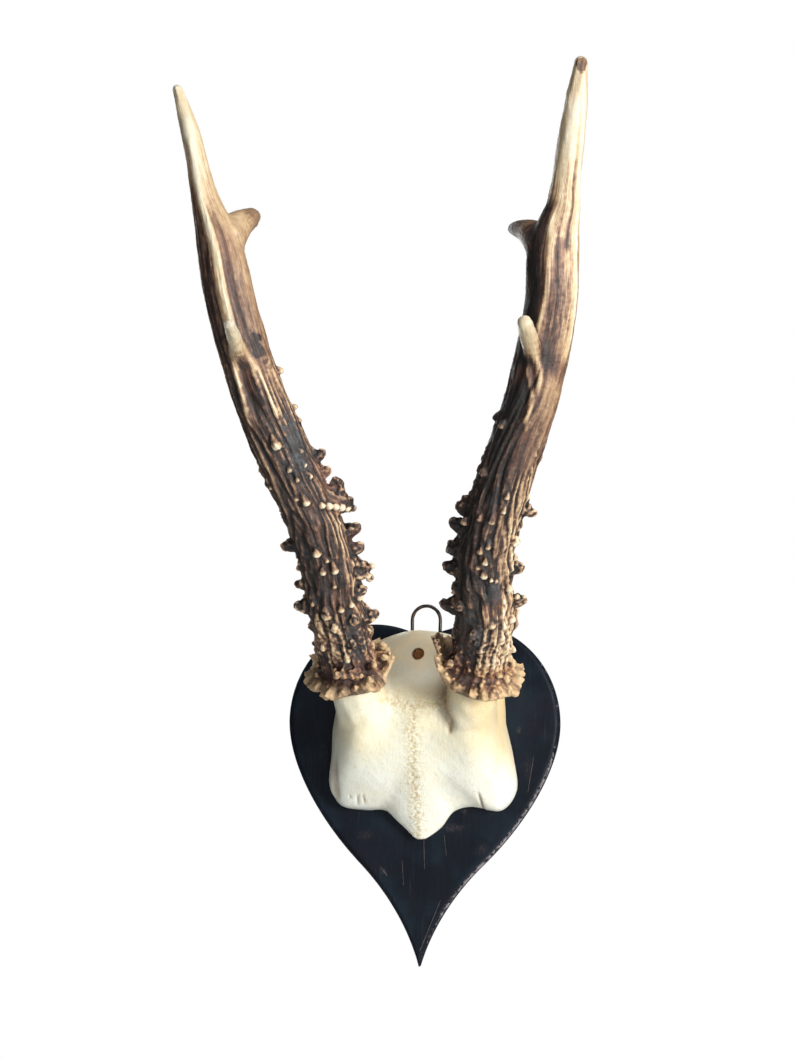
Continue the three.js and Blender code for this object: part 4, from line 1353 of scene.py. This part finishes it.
def makeBoard(shape):
    # rings of the outline, drawn in: the back face, the square edge, a quarter round and the front face
    share = np.linspace(0, 1, shape["pointsOnCurve"], endpoint=False)[:, None]
    right = []
    for curve in shape["curves"]:
        p = np.array(curve, float)
        nearStart = (1 - share) ** 3 * p[0] + 3 * (1 - share) ** 2 * share * p[1]
        right.append(nearStart + 3 * (1 - share) * share ** 2 * p[2] + share ** 3 * p[3])
    right = np.vstack(right + [np.array([shape["curves"][-1][-1]], float)])
    outline = np.vstack([right, right[-2:0:-1] * [-1, 1]])
    outline = outline[::-1]
    centre = np.array(shape["centre"])
    quarter = np.linspace(0, math.pi / 2, shape["edgeRows"])
    square = shape["thickness"] - shape["round"]
    roundY = square + shape["round"] * np.sin(quarter)
    ringY = np.concatenate([[0, 0, 0], np.linspace(0, square, 6)[:-1], roundY])
    inset = np.concatenate([[0, 0, 0], np.zeros(5), shape["round"] * (1 - np.cos(quarter))])
    pull = np.concatenate([[0.02, 0.4, 0.8], np.ones(len(ringY) - 3)])
    facePull = np.linspace(1, 0.01, shape["faceRows"] + 1)[1:]
    ringY = np.concatenate([ringY, np.full(shape["faceRows"], shape["thickness"])])
    inset = np.concatenate([inset, np.full(shape["faceRows"], shape["round"])])
    pull = np.concatenate([pull, facePull])
    drawn = 1 - inset / outline[:, 0].max()
    flat = outline[None] * drawn[:, None, None]
    flat = centre + (flat - centre) * pull[:, None, None]
    x, z = flat[..., 0], flat[..., 1]
    y = -ringY[:, None] * np.ones_like(x)
    place = np.stack([x, y, z], axis=-1)
    # worn spots and small dents along the rounded edge, and faint unevenness of the face
    onRound = bump(inset[:, None], 0.25, 0.5) * (inset[:, None] > 0.01) * (pull[:, None] > 0.999)
    dents = smoothStep(waveField(place, 5, 91), 1.2, 2.2) * 0.5 * onRound
    toCentre = np.stack([-x, 0 * x, centre[1] - z], axis=-1)
    toCentre /= np.maximum(np.linalg.norm(toCentre, axis=-1, keepdims=True), 1e-6)
    place = place + toCentre * dents[..., None]
    face = (ringY[:, None] > shape["thickness"] - 0.01) * smoothStep(1 - pull[:, None], 0.0, 0.05)
    place[..., 1] += 0.05 * (waveField(place * [1, 1, 0.4], 9, 92) + 1) * face
    board = makePiece("boardWood", gridSurface(place))
    # the rounded front edge, where the material paints a highlight
    setFloats(board, "roundedEdge", (onRound + 0 * x).ravel().tolist() + [0, 0])
    holeX, holeY, holeRadius = shape["legHoles"]
    around = np.linspace(0, 2 * math.pi, 24, endpoint=False)
    for side in (-1, 1):
        rings = np.array(shape["legHoleEnds"])
        drillX = side * holeX + holeRadius * np.cos(around)[None]
        drillY = holeY + holeRadius * np.sin(around)[None]
        drill = np.stack(np.broadcast_arrays(drillX, drillY, rings[:, None]), axis=-1)
        cutAway(board, gridSurface(drill[::-1]))
    return board


boardLook = {
    "paint": (0.0024, 0.0042, 0.0082),
    "bluePaint": (0.0050, 0.0100, 0.0165),
    "plumPaint": (0.0058, 0.0052, 0.0105),
    "worn": (0.036, 0.040, 0.049),
    # a pale painted highlight along the rounded edge
    "edgePaintedHighlight": (0.20, 0.18, 0.19),
    "scuffPink": (0.085, 0.068, 0.070),
    "roughness": 0.5,
    "shine": 0.10,
    "scuffs": [  # x, z, half width, half height, strength
        (11.5, -37.5, 4.5, 1.8, 0.9), (34.6, -2.2, 1.0, 1.6, 1.0), (-13.2, -53.6, 1.6, 1.4, 0.8),
        (15.6, -31.6, 1.4, 1.2, 0.9), (4.6, -77, 1.4, 2.6, 0.8), (-20, -41, 3.5, 2.0, 0.5),
        (38, -16, 2.5, 4.5, 0.35), (-36, -12, 2.2, 6, 0.35), (22, -45, 2.5, 2.5, 0.5),
    ],
    "scratches": [  # start x, z, end x, z, half width, all in mm
        (7.5, -63.5, 0.6, -81, 0.13), (1.2, -42.5, 1.6, -52, 0.12), (-13.9, -52.4, -12.0, -54.8, 0.2),
        (5.4, -75.0, 4.6, -79.0, 0.14), (-24, -14, -25.2, -31, 0.08), (40, -12, 38.2, -24, 0.09),
        (-6.5, -50, -5.8, -58, 0.08), (8.5, -40.5, 9.3, -47, 0.08),
    ],
}


def scratchMask(tree, place, scratch):
    # 1 inside a thin straight line on the board's face, from its start to its end
    x1, z1, x2, z2, halfWidth = [value * mm for value in scratch]
    length = math.hypot(x2 - x1, z2 - z1)
    direction = ((x2 - x1) / length, 0, (z2 - z1) / length)
    sideways = (-direction[2], 0, direction[0])
    rows = []
    for axis in (direction, sideways):
        dot = tree.nodes.new("ShaderNodeVectorMath")
        dot.operation = "DOT_PRODUCT"
        plug(tree, dot.inputs[0], place)
        dot.inputs[1].default_value = axis
        rows.append(dot.outputs["Value"])
    middleAlong = (x1 + x2) / 2 * direction[0] + (z1 + z2) / 2 * direction[2]
    middleSide = x1 * sideways[0] + z1 * sideways[2]
    offAlong = combine(tree, "ABSOLUTE", combine(tree, "SUBTRACT", rows[0], middleAlong))
    offSide = combine(tree, "ABSOLUTE", combine(tree, "SUBTRACT", rows[1], middleSide))
    inLength = spread(tree, offAlong, length / 2, length / 2 + 0.0006, 1, 0)
    inWidth = spread(tree, offSide, halfWidth * 0.5, halfWidth * 1.5, 1, 0)
    return combine(tree, "MULTIPLY", inLength, inWidth)


def scuffShare(tree, apart, grain, scuff):
    # a worn spot: strongest in its middle, broken up by the grain
    x, z, wide, high, strength = scuff
    offX = combine(tree, "DIVIDE", combine(tree, "SUBTRACT", apart.outputs["X"], x * mm), wide * mm)
    offZ = combine(tree, "DIVIDE", combine(tree, "SUBTRACT", apart.outputs["Z"], z * mm), high * mm)
    away = combine(tree, "MULTIPLY_ADD", offX, offX, times(tree, offZ, offZ))
    rubbed = combine(tree, "MULTIPLY_ADD", away, -0.16, plus(tree, grain, 0.08))
    return spread(tree, rubbed, 0.40, 0.85, 0, strength * 0.5)


def boardMaterial(look):
    material, tree, shader = newMaterial("blackPaint", look["roughness"])
    place = objectPoint(tree)
    apart = tree.nodes.new("ShaderNodeSeparateXYZ")
    plug(tree, apart.inputs[0], place)
    clouds = noise(tree, place, 45, 4, 0.6)
    plumClouds = noise(tree, place, 70, 3, 0.5)
    brush = noise(tree, scaled(tree, place, (1, 1, 0.05)), 900, 5, 0.65)
    grain = noise(tree, scaled(tree, place, (1, 1, 0.035)), 330, 5, 0.6)
    scuffGrain = noise(tree, scaled(tree, place, (1, 1, 0.6)), 2400, 5, 0.75)
    dust = noise(tree, place, 700, 5, 0.7)
    worn = times(tree, spread(tree, brush, 0.56, 0.74), spread(tree, grain, 0.45, 0.7, 0.25, 0.9), 0.6)
    specks = times(tree, spread(tree, dust, 0.68, 0.76), spread(tree, clouds, 0.45, 0.7), 0.5)
    marks = 0.0
    for scratch in look["scratches"]:
        marks = combine(tree, "MAXIMUM", marks, scratchMask(tree, place, scratch))
    broken = times(tree, marks, spread(tree, dust, 0.35, 0.6, 0.3, 1), 0.8)
    # a pale painted highlight on the rounded edge, broken into specks, most on the lower right
    rightSide = spread(tree, apart.outputs["X"], -0.005, 0.02)
    rightLow = times(tree, rightSide, spread(tree, apart.outputs["Z"], 0.0, -0.02))
    edgeHighlight = spread(tree, combine(tree, "MULTIPLY_ADD", rightLow, 0.15, dust), 0.58, 0.70)
    colour = layered(tree, look["paint"], look, [
        (spread(tree, clouds, 0.4, 0.62), "bluePaint"),
        (spread(tree, plumClouds, 0.5, 0.68, 0, 0.5), "plumPaint"),
        (worn, "worn"),
        (specks, "scuffPink"),
        (broken, "scuffPink"),
        *[(scuffShare(tree, apart, scuffGrain, scuff), "scuffPink") for scuff in look["scuffs"]],
        (times(tree, attributeOf(tree, "roundedEdge"), edgeHighlight), "edgePaintedHighlight"),
    ])
    plug(tree, shader.inputs["Base Color"], colour)
    plug(tree, shader.inputs["Roughness"], spread(tree, brush, 0.35, 0.7, 0.42, 0.66))
    height = combine(tree, "MULTIPLY_ADD", grain, 0.7, brush)
    height = combine(tree, "MULTIPLY_ADD", marks, -0.8, height)
    addBump(tree, shader, height, 0.35, 0.0002)
    shader.inputs["Specular IOR Level"].default_value = look["shine"]
    return material


board = makeBoard(boardShape)
finishPiece(board, boardMaterial(boardLook), "backboard")


# Hanger: one bent wire

hangerShape = {
    "wireRadius": 0.65,
    "halfWidth": 5.1,
    "top": 42.2,
    "legEnd": 21.0,
    "y": -4.5,
    "rows": 150,
    "columns": 22,
}


def makeHanger(shape):
    # a round wire up one leg, over a half circle and down the other, with hammer marks along it
    shoulder = shape["top"] - shape["halfWidth"]
    turn = np.linspace(0, math.pi, 15)
    bendX = -shape["halfWidth"] * np.cos(turn)
    bendZ = shoulder + shape["halfWidth"] * np.sin(turn)
    bend = np.stack(np.broadcast_arrays(bendX, shape["y"], bendZ), axis=-1)
    legs = np.linspace(shape["legEnd"], shoulder, 7)[:-1]
    left = np.stack(np.broadcast_arrays(-shape["halfWidth"], shape["y"], legs), axis=-1)
    right = left[::-1] * [-1, 1, 1]
    path, steps = splineThrough(np.vstack([left, bend, right]), shape["rows"])
    along = np.gradient(path, axis=0)
    along /= np.linalg.norm(along, axis=1, keepdims=True)
    front = np.array([[0, -1.0, 0]]) * np.ones_like(along)
    beside = np.cross(along, front)
    around = np.linspace(-math.pi, math.pi, shape["columns"], endpoint=False)[None, :]
    tight = np.stack(np.broadcast_arrays(np.cos(around), np.sin(around), steps[:, None]), axis=-1)
    radius = shape["wireRadius"] - 0.02 + 0.018 * waveField(tight * [1, 1, 0.6], 1.4, 95)
    across = front[:, None] * np.cos(around)[..., None] + beside[:, None] * np.sin(around)[..., None]
    return makePiece("wireLoop", gridSurface(path[:, None] + radius[..., None] * across))


ironLook = {
    "iron": (0.022, 0.02, 0.02),
    "brown": (0.06, 0.035, 0.022),
    "bright": (0.13, 0.12, 0.12),
    "roughness": 0.42,
}


def ironMaterial(look):
    material, tree, shader = newMaterial("ironWire", look["roughness"])
    place = objectPoint(tree)
    patches = noise(tree, place, 500, 5, 0.6)
    grit = noise(tree, place, 2600, 4, 0.6)
    colour = blendColours(tree, spread(tree, patches, 0.45, 0.65), look["iron"], look["brown"])
    colour = blendColours(tree, spread(tree, grit, 0.62, 0.8, 0, 0.6), colour, look["bright"])
    plug(tree, shader.inputs["Base Color"], colour)
    shader.inputs["Metallic"].default_value = 0.7
    plug(tree, shader.inputs["Roughness"], spread(tree, patches, 0.3, 0.7, 0.3, 0.6))
    addBump(tree, shader, grit, 0.3, 0.0001)
    return material


hanger = makeHanger(hangerShape)
finishPiece(hanger, ironMaterial(ironLook), "hanger_loop")


# Screw in the drilled hole: the CAD node with a rusty finish

rustLook = {
    "dark": (0.03, 0.012, 0.006),
    "orange": (0.32, 0.125, 0.035),
    "steel": (0.07, 0.045, 0.035),
    "roughness": 0.75,
}


def rustMaterial(look):
    material, tree, shader = newMaterial("rustySteel", look["roughness"])
    place = objectPoint(tree)
    scale = noise(tree, place, 900, 5, 0.65)
    spots = noise(tree, place, 2600, 4, 0.6)
    colour = colourRamp(tree, scale, [(0.3, look["dark"]), (0.55, look["orange"]), (0.72, look["steel"])])
    colour = blendColours(tree, spread(tree, spots, 0.5, 0.7, 0, 0.7), colour, look["dark"])
    plug(tree, shader.inputs["Base Color"], colour)
    shader.inputs["Metallic"].default_value = 0.3
    addBump(tree, shader, scale, 0.6, 0.0003)
    return material


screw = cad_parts["fixing_screw"]
screw.data.materials.clear()
screw.data.materials.append(rustMaterial(rustLook))
print("screw finished")


# Stage: a pale floor below, white all round, a key light from the right and weak fills

stageSettings = {
    "floorDrop": 0.26,
    "floorRadius": 0.5,
    "floorColour": (0.8, 0.8, 0.79),
    "backdrop": 1.0,
    "fill": 0.10,
}

lightSettings = [  # name, place, size, watts, colour; each looks at the middle of the object
    ("key", (0.95, -0.85, 0.10), 0.5, 27, (1.0, 0.97, 0.93)),
    ("frontFill", (0.1, -1.4, -0.3), 0.8, 6, (0.95, 0.97, 1.0)),
    ("topFill", (0.25, -0.5, 1.1), 0.6, 7, (1.0, 1.0, 1.0)),
    ("backFill", (-0.5, 1.2, 0.4), 0.8, 9, (1.0, 1.0, 1.0)),
]


def makeStage(settings):
    # a flat disc that lies below the object
    turn = np.linspace(0, 2 * math.pi, 64, endpoint=False)
    rings = np.array([0.001, 0.5, 1.0])[:, None] * settings["floorRadius"] / mm
    level = -settings["floorDrop"] / mm
    disc = np.stack(np.broadcast_arrays(rings * np.cos(turn), rings * np.sin(turn), level), axis=-1)
    floor = makePiece("floor", gridSurface(disc[::-1], False))
    material, tree, shader = newMaterial("paleFloor", 0.8)
    shader.inputs["Base Color"].default_value = (*settings["floorColour"], 1)
    floor.data.materials.append(material)


def makeWorld(settings):
    # the camera sees plain white, while the surfaces get only a weak even light from it
    world = bpy.data.worlds.new("studio")
    scene.world = world
    world.use_nodes = True
    nodes = world.node_tree.nodes
    links = world.node_tree.links
    seen = nodes["Background"]
    seen.inputs["Color"].default_value = (1, 1, 1, 1)
    seen.inputs["Strength"].default_value = settings["backdrop"]
    lit = nodes.new("ShaderNodeBackground")
    lit.inputs["Color"].default_value = (1, 1, 1, 1)
    lit.inputs["Strength"].default_value = settings["fill"]
    ray = nodes.new("ShaderNodeLightPath")
    mix = nodes.new("ShaderNodeMixShader")
    links.new(ray.outputs["Is Camera Ray"], mix.inputs[0])
    links.new(lit.outputs[0], mix.inputs[1])
    links.new(seen.outputs[0], mix.inputs[2])
    links.new(mix.outputs[0], nodes["World Output"].inputs["Surface"])


def makeLights(lights):
    middle = np.array([0.0, -0.07, 0.05])
    for name, place, size, watts, colour in lights:
        data = bpy.data.lights.new(name, "AREA")
        data.shape = "DISK"
        data.size = size
        data.energy = watts
        data.color = colour
        light = bpy.data.objects.new(name, data)
        back = np.array(place) - middle
        back /= np.linalg.norm(back)
        right = np.cross([0, 0, 1], back)
        right /= np.linalg.norm(right)
        turned = Matrix(np.stack([right, np.cross(back, right), back], axis=1).tolist()).to_4x4()
        turned.translation = place
        light.matrix_world = turned
        scene.collection.objects.link(light)


makeStage(stageSettings)
makeWorld(stageSettings)
makeLights(lightSettings)
scene.view_settings.view_transform = "Standard"
print("stage and lights done")
